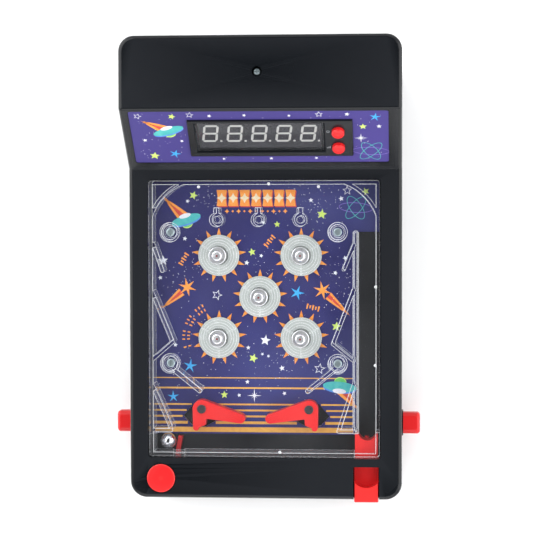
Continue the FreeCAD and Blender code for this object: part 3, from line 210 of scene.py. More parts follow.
def clearPlastic(name, tint, haze, bright=0.03, edge=0.9, walls=0.0, rim=0.0):
    # thin clear moulding: lets light through face on, turns pale and mirrors towards its edges
    mat, tree, shader = newMaterial(name)
    place = placeNode(tree)
    smear = noiseNode(tree, place, 22.0, 5.0, 0.6)
    through = addNode(tree, "ShaderNodeBsdfTransparent", Color=tint)
    ripple = bumpNode(tree, noiseNode(tree, place, 30.0, 1.0), 0.05, 0.0006)
    weight = addNode(tree, "ShaderNodeLayerWeight", Blend=0.5)
    tree.links.new(ripple, weight.inputs["Normal"])
    power = addNode(tree, "ShaderNodeMath", operation="POWER")
    power.inputs[1].default_value = 4.0
    tree.links.new(weight.outputs["Facing"], power.inputs[0])
    sheen = addNode(tree, "ShaderNodeMath", operation="MULTIPLY_ADD")
    tree.links.new(power.outputs[0], sheen.inputs[0])
    sheen.inputs[1].default_value = edge
    tree.links.new(rangeNode(tree, smear, 0.35, 0.8, haze, haze + bright), sheen.inputs[2])
    # painted sheen: walls that stand square to the deck are made paler and less clear along their whole height, from
    # their lean alone
    coords = addNode(tree, "ShaderNodeTexCoord")
    lean = addNode(tree, "ShaderNodeVectorMath", operation="DOT_PRODUCT")
    tree.links.new(coords.outputs["Normal"], lean.inputs[0])
    lean.inputs[1].default_value = (0, -math.sin(slopeAngle), math.cos(slopeAngle))
    flat = addNode(tree, "ShaderNodeMath", operation="ABSOLUTE")
    tree.links.new(lean.outputs["Value"], flat.inputs[0])
    paintedWallSheen = rangeNode(tree, flat.outputs[0], 0.0, 0.5, walls, 0.0)
    amount = addNode(tree, "ShaderNodeMath", operation="MAXIMUM")
    tree.links.new(sheen.outputs[0], amount.inputs[0])
    tree.links.new(paintedWallSheen, amount.inputs[1])
    shader.inputs["Base Color"].default_value = (0.92, 0.95, 0.98, 1)
    tree.links.new(rangeNode(tree, smear, 0.3, 0.7, 0.03, 0.09), shader.inputs["Roughness"])
    tree.links.new(ripple, shader.inputs["Normal"])
    gloss = addNode(tree, "ShaderNodeBsdfGlossy", Color=(1, 1, 1, 1), Roughness=0.03)
    tree.links.new(ripple, gloss.inputs["Normal"])
    inner = addNode(tree, "ShaderNodeMixShader", Fac=0.55)
    tree.links.new(shader.outputs[0], inner.inputs[1])
    tree.links.new(gloss.outputs[0], inner.inputs[2])
    mix = addNode(tree, "ShaderNodeMixShader")
    tree.links.new(amount.outputs[0], mix.inputs[0])
    tree.links.new(through.outputs[0], mix.inputs[1])
    tree.links.new(inner.outputs[0], mix.inputs[2])
    surface = mix
    if rim:
        # painted highlight: the corners of the moulding are mixed towards white, with a faint glow of their own
        white = addNode(tree, "ShaderNodeBsdfPrincipled", Roughness=0.35)
        white.inputs["Base Color"].default_value = (0.97, 0.98, 1, 1)
        white.inputs["Emission Color"].default_value = (0.95, 0.97, 1, 1)
        white.inputs["Emission Strength"].default_value = 0.12
        surface = addNode(tree, "ShaderNodeMixShader")
        # the painted highlight covers up to 85 percent along the edges
        tree.links.new(rangeNode(tree, cornerMask(tree, rim), 0.0, 1.0, 0.0, 0.85), surface.inputs[0])
        tree.links.new(mix.outputs[0], surface.inputs[1])
        tree.links.new(white.outputs[0], surface.inputs[2])
    tree.links.new(surface.outputs[0], tree.nodes["Material Output"].inputs["Surface"])
    return mat


def frostedPlastic(name):
    # stepped translucent saucer: milky all over, with a painted highlight that makes it white and less clear along the
    # corners of its rings
    mat, tree, shader = newMaterial(name)
    place = placeNode(tree)
    cloud = noiseNode(tree, place, 90.0, 4.0)
    through = addNode(tree, "ShaderNodeBsdfTransparent", Color=(0.92, 0.95, 0.92, 1))
    milk = mixColour(tree, cloud, (0.52, 0.56, 0.52, 1), (0.66, 0.69, 0.65, 1))
    # painted highlight mask along the corners of the rings
    corner = cornerMask(tree, 0.00045)
    tree.links.new(mixColour(tree, corner, milk, (0.97, 0.98, 0.96, 1)), shader.inputs["Base Color"])
    tree.links.new(rangeNode(tree, cloud, 0.3, 0.7, 0.14, 0.3), shader.inputs["Roughness"])
    tree.links.new(bumpNode(tree, noiseNode(tree, place, 900.0, 2.0), 0.2, 0.00004), shader.inputs["Normal"])
    shader.inputs["Specular IOR Level"].default_value = 0.7
    mix = addNode(tree, "ShaderNodeMixShader")
    tree.links.new(rangeNode(tree, corner, 0.0, 1.0, 0.82, 0.97), mix.inputs[0])
    tree.links.new(through.outputs[0], mix.inputs[1])
    tree.links.new(shader.outputs[0], mix.inputs[2])
    tree.links.new(mix.outputs[0], tree.nodes["Material Output"].inputs["Surface"])
    return mat


def printedCard(name, deep, light, core, glow):
    # ink on board: mottled blue-purple with a paler cloud, fine dots of the screen print, pale cut edges
    mat, tree, shader = newMaterial(name)
    place = placeNode(tree)
    cloud = noiseNode(tree, placeNode(tree, (1, 1, 1), (0, 0, 0.4)), 9.0, 3.0, 0.5)
    speck = noiseNode(tree, place, 2600.0, 2.0)
    stars = addNode(tree, "ShaderNodeTexVoronoi", Scale=170.0)
    tree.links.new(place, stars.inputs["Vector"])
    ink = mixColour(tree, rangeNode(tree, cloud, 0.42, 0.68, 0.0, glow), deep, light)
    ink = mixColour(tree, rangeNode(tree, speck, 0.3, 0.7, 0.0, 0.25), ink, (0.03, 0.02, 0.12, 1))
    twinkle = rangeNode(tree, stars.outputs["Distance"], 0.03, 0.055, 0.75, 0.0)
    pick = addNode(tree, "ShaderNodeSeparateColor")
    tree.links.new(stars.outputs["Color"], pick.inputs[0])
    chosen = addNode(tree, "ShaderNodeMath", operation="GREATER_THAN")
    tree.links.new(pick.outputs[0], chosen.inputs[0])
    chosen.inputs[1].default_value = 0.8
    dots = addNode(tree, "ShaderNodeMath", operation="MULTIPLY")
    tree.links.new(twinkle, dots.inputs[0])
    tree.links.new(chosen.outputs[0], dots.inputs[1])
    ink = mixColour(tree, dots.outputs[0], ink, (0.8, 0.8, 0.85, 1))
    coords = addNode(tree, "ShaderNodeTexCoord")
    split = addNode(tree, "ShaderNodeSeparateXYZ")
    tree.links.new(coords.outputs["Normal"], split.inputs[0])
    top = rangeNode(tree, split.outputs["Z"], 0.4, 0.6, 0.0, 1.0)
    tree.links.new(mixColour(tree, top, core, ink), shader.inputs["Base Color"])
    tree.links.new(rangeNode(tree, speck, 0.2, 0.8, 0.3, 0.5), shader.inputs["Roughness"])
    tree.links.new(bumpNode(tree, speck, 0.1, 0.00002), shader.inputs["Normal"])
    shader.inputs["Specular IOR Level"].default_value = 0.2
    return mat


def inkFinish(name, colour, second, rough=(0.3, 0.5)):
    # one printing ink, a little uneven, with the print's fine grain
    mat, tree, shader = newMaterial(name)
    place = placeNode(tree)
    cloud = noiseNode(tree, place, 240.0, 3.0)
    grain = noiseNode(tree, place, 3000.0, 2.0)
    blend = rangeNode(tree, cloud, 0.35, 0.65, 0.0, 1.0)
    tree.links.new(mixColour(tree, blend, colour, second), shader.inputs["Base Color"])
    tree.links.new(rangeNode(tree, grain, 0.2, 0.8, rough[0], rough[1]), shader.inputs["Roughness"])
    tree.links.new(bumpNode(tree, grain, 0.08, 0.00001), shader.inputs["Normal"])
    return mat


blackGloss = mouldedPlastic("blackGlossCase", (0.0042, 0.0052, 0.0068, 1), (0.14, 0.26), (0.03, 0.032, 0.037, 1),
                            specular=0.3)
blackMatte = mouldedPlastic("blackMatteBase", (0.012, 0.0125, 0.014, 1), (0.45, 0.62), (0.05, 0.05, 0.052, 1),
                            grain=900.0, grainDepth=0.00005)
blackTray = mouldedPlastic("blackTray", (0.004, 0.0045, 0.0055, 1), (0.3, 0.5), (0.02, 0.02, 0.024, 1), grain=700.0,
                           grainDepth=0.00003, specular=0.25)
redGloss = mouldedPlastic("redControls", (0.72, 0.014, 0.016, 1), (0.3, 0.36), (0.85, 0.08, 0.06, 1), edgeWearAndHighlight=0.15,
                          specular=0.35)
redGate = mouldedPlastic("redGate", (0.5, 0.01, 0.014, 1), (0.3, 0.42), (0.6, 0.05, 0.04, 1), edgeWearAndHighlight=0.2, specular=0.3)
pinBlack = mouldedPlastic("pinBlack", (0.02, 0.018, 0.022, 1), (0.25, 0.4), (0.08, 0.07, 0.07, 1))
clearCover = clearPlastic("clearCover", (0.98, 0.985, 0.995, 1), 0.012, 0.02, walls=0.22, rim=0.0007)
displayTint = clearPlastic("displayWindow", (0.93, 0.93, 0.95, 1), 0.01, 0.01)
frosted = frostedPlastic("frostedSkirt")
cardPrint = printedCard("cardPrint", (0.02, 0.02, 0.115, 1), (0.05, 0.056, 0.2, 1), (0.75, 0.75, 0.72, 1), 0.75)
labelPrint = printedCard("labelPrint", (0.028, 0.016, 0.17, 1), (0.055, 0.03, 0.25, 1), (0.2, 0.18, 0.4, 1), 0.6)
chrome = metalFinish("chromePolished", (0.86, 0.86, 0.88, 1), (0.04, 0.1), 300.0, (1, 1, 1))
postMetal = metalFinish("postNickel", (0.93, 0.93, 0.92, 1), (0.3, 0.42), 500.0, (1, 1, 1))
steel = metalFinish("zincSteel", (0.5, 0.6, 0.63, 1), (0.32, 0.45))
brassTerm = metalFinish("nickelContact", (0.72, 0.7, 0.62, 1), (0.2, 0.35))
springWire = metalFinish("springWire", (0.66, 0.66, 0.68, 1), (0.18, 0.3), 1500.0)
lampRed = mouldedPlastic("lampRed", (0.16, 0.006, 0.012, 1), (0.06, 0.12), (0.3, 0.02, 0.03, 1), coat=0.8)
digitInk = inkFinish("digitSegments", (0.56, 0.56, 0.49, 1), (0.64, 0.64, 0.57, 1), (0.45, 0.6))
moduleDark = inkFinish("moduleFace", (0.006, 0.006, 0.008, 1), (0.01, 0.009, 0.012, 1), (0.25, 0.4))
boardGreen = mouldedPlastic("boardGreen", (0.02, 0.14, 0.06, 1), (0.25, 0.4), (0.4, 0.33, 0.15, 1), grain=400.0)
footRubber = mouldedPlastic("footRubber", (0.02, 0.02, 0.02, 1), (0.7, 0.85), (0.05, 0.05, 0.05, 1), grain=800.0,
                            grainDepth=0.00006)
cellSleeve = mouldedPlastic("cellSleeve", (0.04, 0.05, 0.12, 1), (0.2, 0.35), (0.3, 0.3, 0.35, 1))

finishes = {
    "upper_housing": blackGloss, "display_bezel": blackGloss, "lower_housing": blackMatte, "battery_door": blackMatte,
    "playfield_tray": blackTray, "flipper_pins": pinBlack, "clear_cover": clearCover, "display_window": displayTint,
    "display_module": moduleDark, "tact_switches": pinBlack, "speaker": pinBlack, "playfield_card": cardPrint,
    "header_label": labelPrint, "ball": chrome, "bumper_lamps": lampRed, "circuit_board": boardGreen,
    "bumper_board": boardGreen, "rubber_feet": footRubber, "batteries": cellSleeve, "display_segments": digitInk,
    "battery_contacts": brassTerm, "ball_gate": redGate,
}
for name, node in nodes.items():
    finish = finishes.get(name)
    if finish is None and name.startswith("bumper_skirt"):
        finish = frosted
    if finish is None and name.startswith("bumper_post"):
        finish = postMetal
    if finish is None and "spring" in name:
        finish = springWire
    if finish is None and ("screw" in name or "nuts" in name):
        finish = steel
    if finish is None:
        finish = redGloss
    node.data.materials.clear()
    node.data.materials.append(finish)
print("finishes given")


# printed art: thin plates of ink, each grown from an outline worked out by formula
artwork = {}


def addPlate(ink, outline, base, thick, place):
    # a flat plate: the outline at its foot, the same outline above it, and a wall of quads between
    outline = np.asarray(outline, float)
    count = len(outline)
    area = np.sum(outline[:, 0] * np.roll(outline[:, 1], -1) - np.roll(outline[:, 0], -1) * outline[:, 1])
    if area < 0:
        outline = outline[::-1]
    low = np.column_stack([outline, np.full(count, base)])
    high = np.column_stack([outline, np.full(count, base + thick)])
    verts = place(np.vstack([low, high]))
    steps = np.arange(count)
    faces = [list(steps[::-1]), list(steps + count)]
    faces += [[int(i), int((i + 1) % count), int((i + 1) % count + count), int(i + count)] for i in steps]
    artwork.setdefault(ink, []).append((verts, faces))


def addBand(ink, outer, inner, base, thick, place):
    # a closed band: quads between an outer and an inner loop, top, foot and both walls
    count = len(outer)
    loops = [np.column_stack([loop, np.full(count, height)])
             for height in (base, base + thick) for loop in (outer, inner)]
    verts = place(np.vstack(loops))
    faces = []
    for i in range(count):
        j = (i + 1) % count
        faces.append([i, i + count, j + count, j])
        faces.append([i + 2 * count, j + 2 * count, j + 3 * count, i + 3 * count])
        faces.append([i, j, j + 2 * count, i + 2 * count])
        faces.append([i + count, i + 3 * count, j + 3 * count, j + count])
    artwork.setdefault(ink, []).append((verts, faces))


def turned(points, degrees, x, y):
    a = math.radians(degrees)
    c, s = math.cos(a), math.sin(a)
    return np.column_stack([points[:, 0] * c - points[:, 1] * s + x, points[:, 0] * s + points[:, 1] * c + y])


def starLoop(x, y, rays, outer, inner, turn=0.0):
    # radius steps between outer and inner at equal angles, the first ray straight up
    a = math.pi / 2 + np.arange(2 * rays) * math.pi / rays
    r = np.where(np.arange(2 * rays) % 2 == 0, outer, inner)
    return turned(np.column_stack([r * np.cos(a), r * np.sin(a)]), turn, x, y)


def ovalLoop(x, y, wide, high, turn=0.0, count=40):
    # an ellipse of equal steps in its own angle
    a = np.radians(np.linspace(0.0, 360.0, count, endpoint=False))
    return turned(np.column_stack([wide * np.cos(a), high * np.sin(a)]), turn, x, y)


def flameLoop(x, y, tailX, tailY, width, tongues=3):
    # a tapering tail from a round head to forked tips
    length = math.hypot(tailX - x, tailY - y)
    side = np.linspace(0, 1, 9)
    edge = np.column_stack([side * length * 0.8, width * (1 - side) ** 0.7 + 0.12 * width])
    tips = []
    for n in range(2 * tongues - 1):
        across = width * 0.45 * (1 - n / (tongues - 1))
        reach = (0.98 if n == tongues - 1 else 0.86) if n % 2 == 0 else 0.66
        tips.append((reach * length, across * 0.5))
    loop = np.vstack([edge, np.array(tips), edge[::-1] * np.array([1, -1])])
    return turned(loop, math.degrees(math.atan2(tailY - y, tailX - x)), x, y)


def slabLoop(x0, y0, x1, y1):
    return np.array([[x0, y0], [x1, y0], [x1, y1], [x0, y1]])


cardInk = {
    "base": layout["cardTop"] + 0.00001,
    "step": 0.00002,
    "thick": 0.00002,
}


def level(n):
    return cardInk["base"] + n * cardInk["step"]


bumpers = {
    "centreX": -0.0056,
    "centreY": 0.1582,
    "pitch": 0.0329,
    "rays": 13,
    "rayOuter": 0.0219,
    "rayFoot": 0.0155,
    "rayHalf": 0.0021,         # half a ray's width at its foot
}
for stepX, stepY in ((-1, 1), (1, 1), (0, 0), (-1, -1), (1, -1)):
    x = bumpers["centreX"] + stepX * bumpers["pitch"]
    y = bumpers["centreY"] + stepY * bumpers["pitch"]
    addPlate("greyInk", ovalLoop(x, y, bumpers["rayFoot"], bumpers["rayFoot"]), level(1), cardInk["thick"], onDeck)
    for n in range(bumpers["rays"]):
        half = bumpers["rayHalf"]
        foot = bumpers["rayFoot"]
        ray = np.array([[half, foot - 0.001], [half * 0.5, foot + 0.003], [0, bumpers["rayOuter"]],
                        [-half * 0.5, foot + 0.003], [-half, foot - 0.001]])
        addPlate("orangeInk", turned(ray, 360.0 * n / bumpers["rays"], x, y), level(0), cardInk["thick"], onDeck)


def addSaucer(x, y, size, lean, place, base, flameTo, dome="below"):
    # a flying saucer: wide rim, darker lower edge, a dome on one side and a pale cap on the other, a flame behind it
    addPlate("orangeInk", flameLoop(x, y, flameTo[0], flameTo[1], size * 0.36), base, cardInk["thick"], place)
    innerX, innerY = x + (flameTo[0] - x) * 0.74, y + (flameTo[1] - y) * 0.74
    addPlate("redInk", flameLoop(x, y, innerX, innerY, size * 0.17), base + 0.00002, cardInk["thick"], place)
    a = math.radians(lean)
    up = -1 if dome == "below" else 1
    for ink, along, wide, high, layer in (("limeInk", 0.3 * up, 0.36, 0.28, 1), ("greenInk", 0.24 * up, 0.36, 0.28, 2),
                                          ("blueInk", -0.1, 0.98, 0.3, 3), ("tealInk", 0.0, 1.0, 0.3, 4),
                                          ("whiteInk", -0.26 * up, 0.4, 0.15, 5)):
        ox = x - math.sin(a) * along * size
        oy = y + math.cos(a) * along * size
        addPlate(ink, ovalLoop(ox, oy, wide * size, high * size, lean), base + 0.00001 * layer,
                 cardInk["thick"], place)


def addOrbit(x, y, size, place, base):
    # crossing orbits round a small core
    for number, (lean, wide, high) in enumerate(((48, 1.0, 0.4), (-56, 0.95, 0.42), (-4, 1.2, 0.36))):
        outer = ovalLoop(x, y, size * wide, size * high, lean, 48)
        inner = ovalLoop(x, y, size * wide - 0.0004, size * high - 0.0004, lean, 48)
        ink = "tealInk" if number < 2 else "violetInk"
        addBand(ink, outer, inner, base + 0.00002 * number, cardInk["thick"], place)


saucers = {
    "rearLeft": (-0.0649, 0.2196, 0.0121, 17, (-0.0840, 0.2385), "below"),
    "frontRight": (0.0579, 0.0862, 0.0134, -6, (0.0728, 0.0672), "above"),
}
for x, y, size, lean, flameTo, dome in saucers.values():
    addSaucer(x, y, size, lean, onDeck, level(0), flameTo, dome)
addOrbit(0.0707, 0.2289, 0.0112, onDeck, level(0))

comets = {
    "left": ((-0.0641, 0.1655), (-0.0862, 0.1472)),
    "right": ((0.0442, 0.1631), (0.0672, 0.1420)),
}
for head, tail in comets.values():
    reach = [head[n] + (tail[n] - head[n]) * 0.2 for n in range(2)]
    addPlate("orangeInk", flameLoop(reach[0], reach[1], tail[0], tail[1], 0.003, 3), level(0), cardInk["thick"], onDeck)
    addPlate("redInk", flameLoop(reach[0], reach[1], head[0] + (tail[0] - head[0]) * 0.75,
                                 head[1] + (tail[1] - head[1]) * 0.75, 0.0014), level(1), cardInk["thick"], onDeck)
    addPlate("orangeInk", starLoop(head[0], head[1], 6, 0.0076, 0.0023, 12), level(2), cardInk["thick"], onDeck)

stars = {
    "limeInk": [(-0.0589, 0.2389, 2.9), (0.0437, 0.2237, 3.4), (0.0081, 0.2157, 2.2), (-0.012, 0.1936, 2.6),
                (0.0785, 0.2417, 2.6), (-0.0112, 0.1088, 3.1), (0.0551, 0.1344, 3.2), (-0.0345, 0.0793, 2.6)],
    "whiteInk": [(-0.0636, 0.2343, 1.4), (-0.0659, 0.2044, 1.6), (-0.0835, 0.1868, 3.4), (-0.0858, 0.1731, 1.6),
                 (-0.0026, 0.217, 1.5), (-0.0047, 0.1907, 1.4), (-0.0163, 0.1851, 1.8), (0.035, 0.2349, 1.6),
                 (0.0591, 0.2361, 1.8), (0.0623, 0.1889, 1.7), (0.0544, 0.1771, 1.6), (-0.0015, 0.1231, 3.5),
                 (-0.0152, 0.1172, 1.6), (0.0118, 0.1009, 2.0), (-0.0039, 0.1121, 1.2), (0.0009, 0.1105, 1.2),
                 (-0.0738, 0.1192, 1.6), (-0.016, 0.0897, 1.5), (-0.0226, 0.079, 1.4), (0.0137, 0.0807, 1.5)],
    "blueInk": [(0.024, 0.1611, 4.0), (-0.062, 0.1024, 3.8), (-0.0757, 0.0776, 3.2)],
    "violetInk": [(-0.0402, 0.1593, 3.6), (0.0418, 0.1005, 3.8), (0.0639, 0.2425, 3.2)],
}


def addStars(groups, place, base, growth):
    # five-pointed stars; the blue ones are slimmer, the violet ones are outlines
    for ink, spots in groups.items():
        for number, (x, y, size) in enumerate(spots):
            r = size / 1000 * growth
            turn = 11 * (number % 5) - 20
            if ink == "violetInk":
                addBand("whiteInk", starLoop(x, y, 5, r, r * 0.45, turn), starLoop(x, y, 5, r * 0.78, r * 0.33, turn),
                        base, cardInk["thick"], place)
            elif ink == "blueInk":
                addPlate("azureInk", starLoop(x, y, 5, r * 1.25, r * 0.36, turn), base, cardInk["thick"], place)
            else:
                addPlate(ink, starLoop(x, y, 5, r, r * 0.45, turn), base, cardInk["thick"], place)


addStars(stars, onDeck, level(4), 1.22)

# star dust: loose clouds of tiny dots, thicker near the middle of each cloud
dust = {
    "seed": 7,
    "left": -0.088, "right": 0.0665, "front": 0.0745, "rear": 0.2475,
    "small": 0.00013, "large": 0.00034,
    "clouds": [(-0.047, 0.238, 0.006, 26), (0.043, 0.235, 0.012, 60), (0.028, 0.222, 0.008, 22),
               (-0.062, 0.182, 0.011, 40), (0.058, 0.184, 0.010, 44), (-0.072, 0.166, 0.010, 26),
               (0.002, 0.188, 0.012, 24), (-0.02, 0.112, 0.014, 44),
               (0.008, 0.104, 0.010, 34), (-0.058, 0.13, 0.012, 28), (0.05, 0.118, 0.012, 34), (0.062, 0.16, 0.009, 26),
               (-0.066, 0.1, 0.014, 24), (0.0, 0.079, 0.03, 30), (0.04, 0.145, 0.01, 16)],
}
dice = np.random.default_rng(dust["seed"])
for x, y, spread, count in dust["clouds"]:
    spots = dice.normal(0, spread, (count, 2)) + np.array([x, y])
    sizes = dice.uniform(dust["small"], dust["large"], count)
    for (px, py), size in zip(spots, sizes):
        if dust["left"] < px < dust["right"] and dust["front"] < py < dust["rear"]:
            addPlate("whiteInk", ovalLoop(px, py, size, size, 0, 6), level(3), cardInk["thick"], onDeck)
for size, turn in ((0.0058, 0), (0.0032, 45)):
    addPlate("whiteInk", starLoop(-0.0104, 0.0788, 4, size, size * 0.13, turn), level(4), cardInk["thick"], onDeck)

# gold stripes across the front of the card; rows and widths in millimetres
stripes = {
    "left": -0.0905,
    "right": 0.0685,
    "cardFront": 0.0482,       # the card's front edge, where the last stripe is cut
    "rows": (92.9, 84.8, 71.6, 66.8, 62.0, 56.9, 51.3),
    "widths": (0.8, 1.3, 1.3, 1.4, 1.5, 2.2, 4.0),
}
# the card's openings round the flipper pivots, as corners in millimetres from each pivot; the stripes stop there
flipperGap = {"pivots": (-0.0517, 0.0338), "row": 0.06895, "margin": 0.0006,
              "corners": ((-15.9, -6.6), (-7.3, 3.4), (7.0, 3.4), (11.6, -5.0), (10.4, -10.5), (1.9, -15.4),
                          (-8.9, -14.1))}


def gapAt(y0, y1):
    # widest reach of the opening between two rows: its corners there, and where its sides cross the rows
    corners = np.array(flipperGap["corners"]) / 1000 + [0, flipperGap["row"]]
    found = [x for x, y in corners if y0 <= y <= y1]
    for (xa, ya), (xb, yb) in zip(corners, np.roll(corners, -1, axis=0)):
        for y in (y0, y1):
            if (ya - y) * (yb - y) < 0:
                found.append(xa + (xb - xa) * (y - ya) / (yb - ya))
    return (min(found) - flipperGap["margin"], max(found) + flipperGap["margin"]) if found else None


for row, width in zip(stripes["rows"], stripes["widths"]):
    y0 = (row - width / 2) / 1000
    y1 = (row + width / 2) / 1000
    gap = gapAt(y0, y1)
    if gap:
        leftPivot, rightPivot = flipperGap["pivots"]
        edges = [stripes["left"], leftPivot + gap[0], leftPivot + gap[1],
                 rightPivot - gap[1], rightPivot - gap[0], stripes["right"]]
        spans = list(zip(edges[0::2], edges[1::2]))
    else:
        spans = [(stripes["left"], stripes["right"])]
    for x0, x1 in spans:
        addPlate("goldInk", slabLoop(x0, max(y0, stripes["cardFront"]), x1, y1), level(0), cardInk["thick"], onDeck)

# title panel: a generic band of studs and diamonds between two rules
title = {"left": -0.0408, "right": 0.0234, "low": 0.2303, "high": 0.2432, "studs": 7, "rowY": 0.2262}
titleWide = title["right"] - title["left"]
for n in range(title["studs"]):
    x = title["left"] + titleWide * (n + 0.5) / title["studs"]
    y = (title["low"] + title["high"]) / 2
    half = titleWide / title["studs"] * 0.44
    tall = (title["high"] - title["low"]) / 2
    loop = np.array([[-half, -tall], [half, -tall], [half * 0.78, 0], [half, tall], [-half, tall], [-half * 0.78, 0]])
    addPlate("redInk", turned(loop, 0, x + 0.0007, y - 0.0008), level(0), cardInk["thick"], onDeck)
    addPlate("orangeInk", turned(loop, 0, x, y), level(1), cardInk["thick"], onDeck)
    addPlate("creamInk", starLoop(x, y, 4, tall * 0.62, tall * 0.3), level(2), cardInk["thick"], onDeck)
for n in range(11):
    x = title["left"] + 0.0088 + (titleWide - 0.0176) * n / 10
    point, notch = (0.0019, 0.0009) if n % 2 == 0 else (0.0011, 0.0006)
    addPlate("orangeInk", starLoop(x, title["rowY"], 4, point, notch), level(1), cardInk["thick"], onDeck)

# little bursts of strokes beside the bumpers
sparks = {"spots": [(-0.0668, 0.188, 58), (0.0021, 0.2024, 50), (0.0366, 0.1494, -14)], "strokes": 5, "long": 0.0042}
for x, y, turn in sparks["spots"]:
    a = math.radians(turn)
    for n in range(sparks["strokes"]):
        along = (n - 2) * 0.0023
        tall = sparks["long"] * (1.0 if n % 2 == 0 else 0.62)
        stroke = np.array([[-0.00045, -tall / 2], [0.00045, -tall / 2], [0.0007, tall / 2], [-0.0007, tall / 2]])
        addPlate("orangeInk", turned(stroke, turn, x + math.cos(a) * along, y + math.sin(a) * along), level(4),
                 cardInk["thick"], onDeck)
arcs = {"radii": (0.0247, 0.0286), "low": 118, "high": 196, "count": 13}
for radius in arcs["radii"]:
    for n in range(arcs["count"]):
        deg = arcs["low"] + (arcs["high"] - arcs["low"]) * n / (arcs["count"] - 1)
        a = math.radians(deg)
        x = bumpers["centreX"] - bumpers["pitch"] + radius * math.cos(a)
        y = bumpers["centreY"] - bumpers["pitch"] + radius * math.sin(a)
        if n % 4 == 3:
            continue
        stroke = np.array([[-0.0005, -0.0011], [0.0005, -0.0011], [0.0005, 0.0011], [-0.0005, 0.0011]])
        addPlate("orangeInk", turned(stroke, deg - 90, x, y), level(4), cardInk["thick"], onDeck)

# header label
labelBase = layout["labelTop"] + 0.00001
addSaucer(-0.0714, 0.0444, 0.0125, 20, onHeader, labelBase, (-0.0925, 0.0563))
addOrbit(0.0834, 0.0208, 0.0118, onHeader, labelBase)
labelStars = {
    "limeInk": [(-0.0673, 0.0602, 2.6), (-0.0848, 0.0163, 3.6), (0.0776, 0.0482, 2.7)],
    "blueInk": [(-0.0686, 0.0185, 3.4), (0.0869, 0.0586, 3.2)],
    "whiteInk": [(-0.0385, 0.0607, 1.6), (0.0658, 0.0618, 1.8), (0.0898, 0.0484, 1.8), (-0.0905, 0.034, 1.6),
                 (-0.062, 0.033, 1.4), (-0.012, 0.0612, 1.4), (0.022, 0.0606, 1.3), (0.006, 0.0128, 1.5),
                 (-0.031, 0.0124, 1.3), (0.041, 0.0131, 1.4)],
    "violetInk": [(-0.0935, 0.0607, 2.8), (-0.0535, 0.0618, 2.8), (0.0446, 0.0618, 2.8)],
}
addStars(labelStars, onHeader, labelBase, 1.15)
labelDust = {
    "seed": 11,
    "count": 150,
    "small": 0.00013, "large": 0.0003,
    "spreadX": (-0.098, 0.095), "spreadY": (0.0105, 0.0635),   # where the dots fall
    "bareX": (-0.058, 0.0715), "bareY": (0.0155, 0.058),       # kept clear for the bezel
}
dice = np.random.default_rng(labelDust["seed"])
bareX, bareY = labelDust["bareX"], labelDust["bareY"]
for n in range(labelDust["count"]):
    px, py = dice.uniform(*labelDust["spreadX"]), dice.uniform(*labelDust["spreadY"])
    size = dice.uniform(labelDust["small"], labelDust["large"])
    if not (bareX[0] < px < bareX[1] and bareY[0] < py < bareY[1]):
        addPlate("whiteInk", ovalLoop(px, py, size, size, 0, 6), labelBase, cardInk["thick"], onHeader)
for size, turn in ((0.0052, 0), (0.003, 45)):
    addPlate("whiteInk", starLoop(0.0759, 0.0355, 4, size, size * 0.13, turn), labelBase, cardInk["thick"], onHeader)

# generic marks on the bezel beside the two small buttons: a ring with a stroke, and three rising bars
bezelInk = {"x": 0.0512, "face": 0.00141}
ringOuter = ovalLoop(bezelInk["x"] - 0.0002, 0.0447, 0.0012, 0.0012, 0, 28)
ringInner = ovalLoop(bezelInk["x"] - 0.0002, 0.0447, 0.0009, 0.0009, 0, 28)
addBand("greyInk", ringOuter, ringInner, bezelInk["face"], 0.00003, onHeader)
for n in range(3):
    x = bezelInk["x"] - 0.0014 + n * 0.0011
    addPlate("greyInk", slabLoop(x, 0.0262, x + 0.0006, 0.0270 + n * 0.0007), bezelInk["face"], 0.00003, onHeader)

inkColours = {
    "orangeInk": ((0.86, 0.27, 0.035, 1), (0.9, 0.36, 0.06, 1)),
    "goldInk": ((0.78, 0.42, 0.08, 1), (0.7, 0.36, 0.07, 1)),
    "redInk": ((0.55, 0.04, 0.03, 1), (0.66, 0.07, 0.04, 1)),
    "tealInk": ((0.05, 0.42, 0.42, 1), (0.09, 0.5, 0.46, 1)),
    "greenInk": ((0.1, 0.5, 0.12, 1), (0.2, 0.58, 0.14, 1)),
    "limeInk": ((0.55, 0.72, 0.12, 1), (0.62, 0.76, 0.2, 1)),
    "whiteInk": ((0.8, 0.81, 0.84, 1), (0.74, 0.75, 0.8, 1)),
    "creamInk": ((0.85, 0.72, 0.5, 1), (0.8, 0.66, 0.42, 1)),
    "blueInk": ((0.06, 0.2, 0.62, 1), (0.1, 0.28, 0.7, 1)),
    "violetInk": ((0.2, 0.13, 0.5, 1), (0.24, 0.17, 0.58, 1)),
    "azureInk": ((0.03, 0.33, 0.72, 1), (0.05, 0.42, 0.8, 1)),
    "greyInk": ((0.28, 0.3, 0.33, 1), (0.36, 0.38, 0.4, 1)),
}
for ink, plates in artwork.items():
    verts = np.vstack([plate[0] for plate in plates])
    faces = []
    start = 0
    for plateVerts, plateFaces in plates:
        faces += [[int(i) + start for i in face] for face in plateFaces]
        start += len(plateVerts)
    mesh = bpy.data.meshes.new(ink)
    mesh.from_pydata(verts.tolist(), [], faces)
    mesh.update()
    piece = bpy.data.objects.new("print_" + ink, mesh)
    bpy.context.scene.collection.objects.link(piece)
    colour, second = inkColours[ink]
    mesh.materials.append(inkFinish(ink, colour, second))
    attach(piece, "case")
print("artwork printed:", len(artwork), "inks")


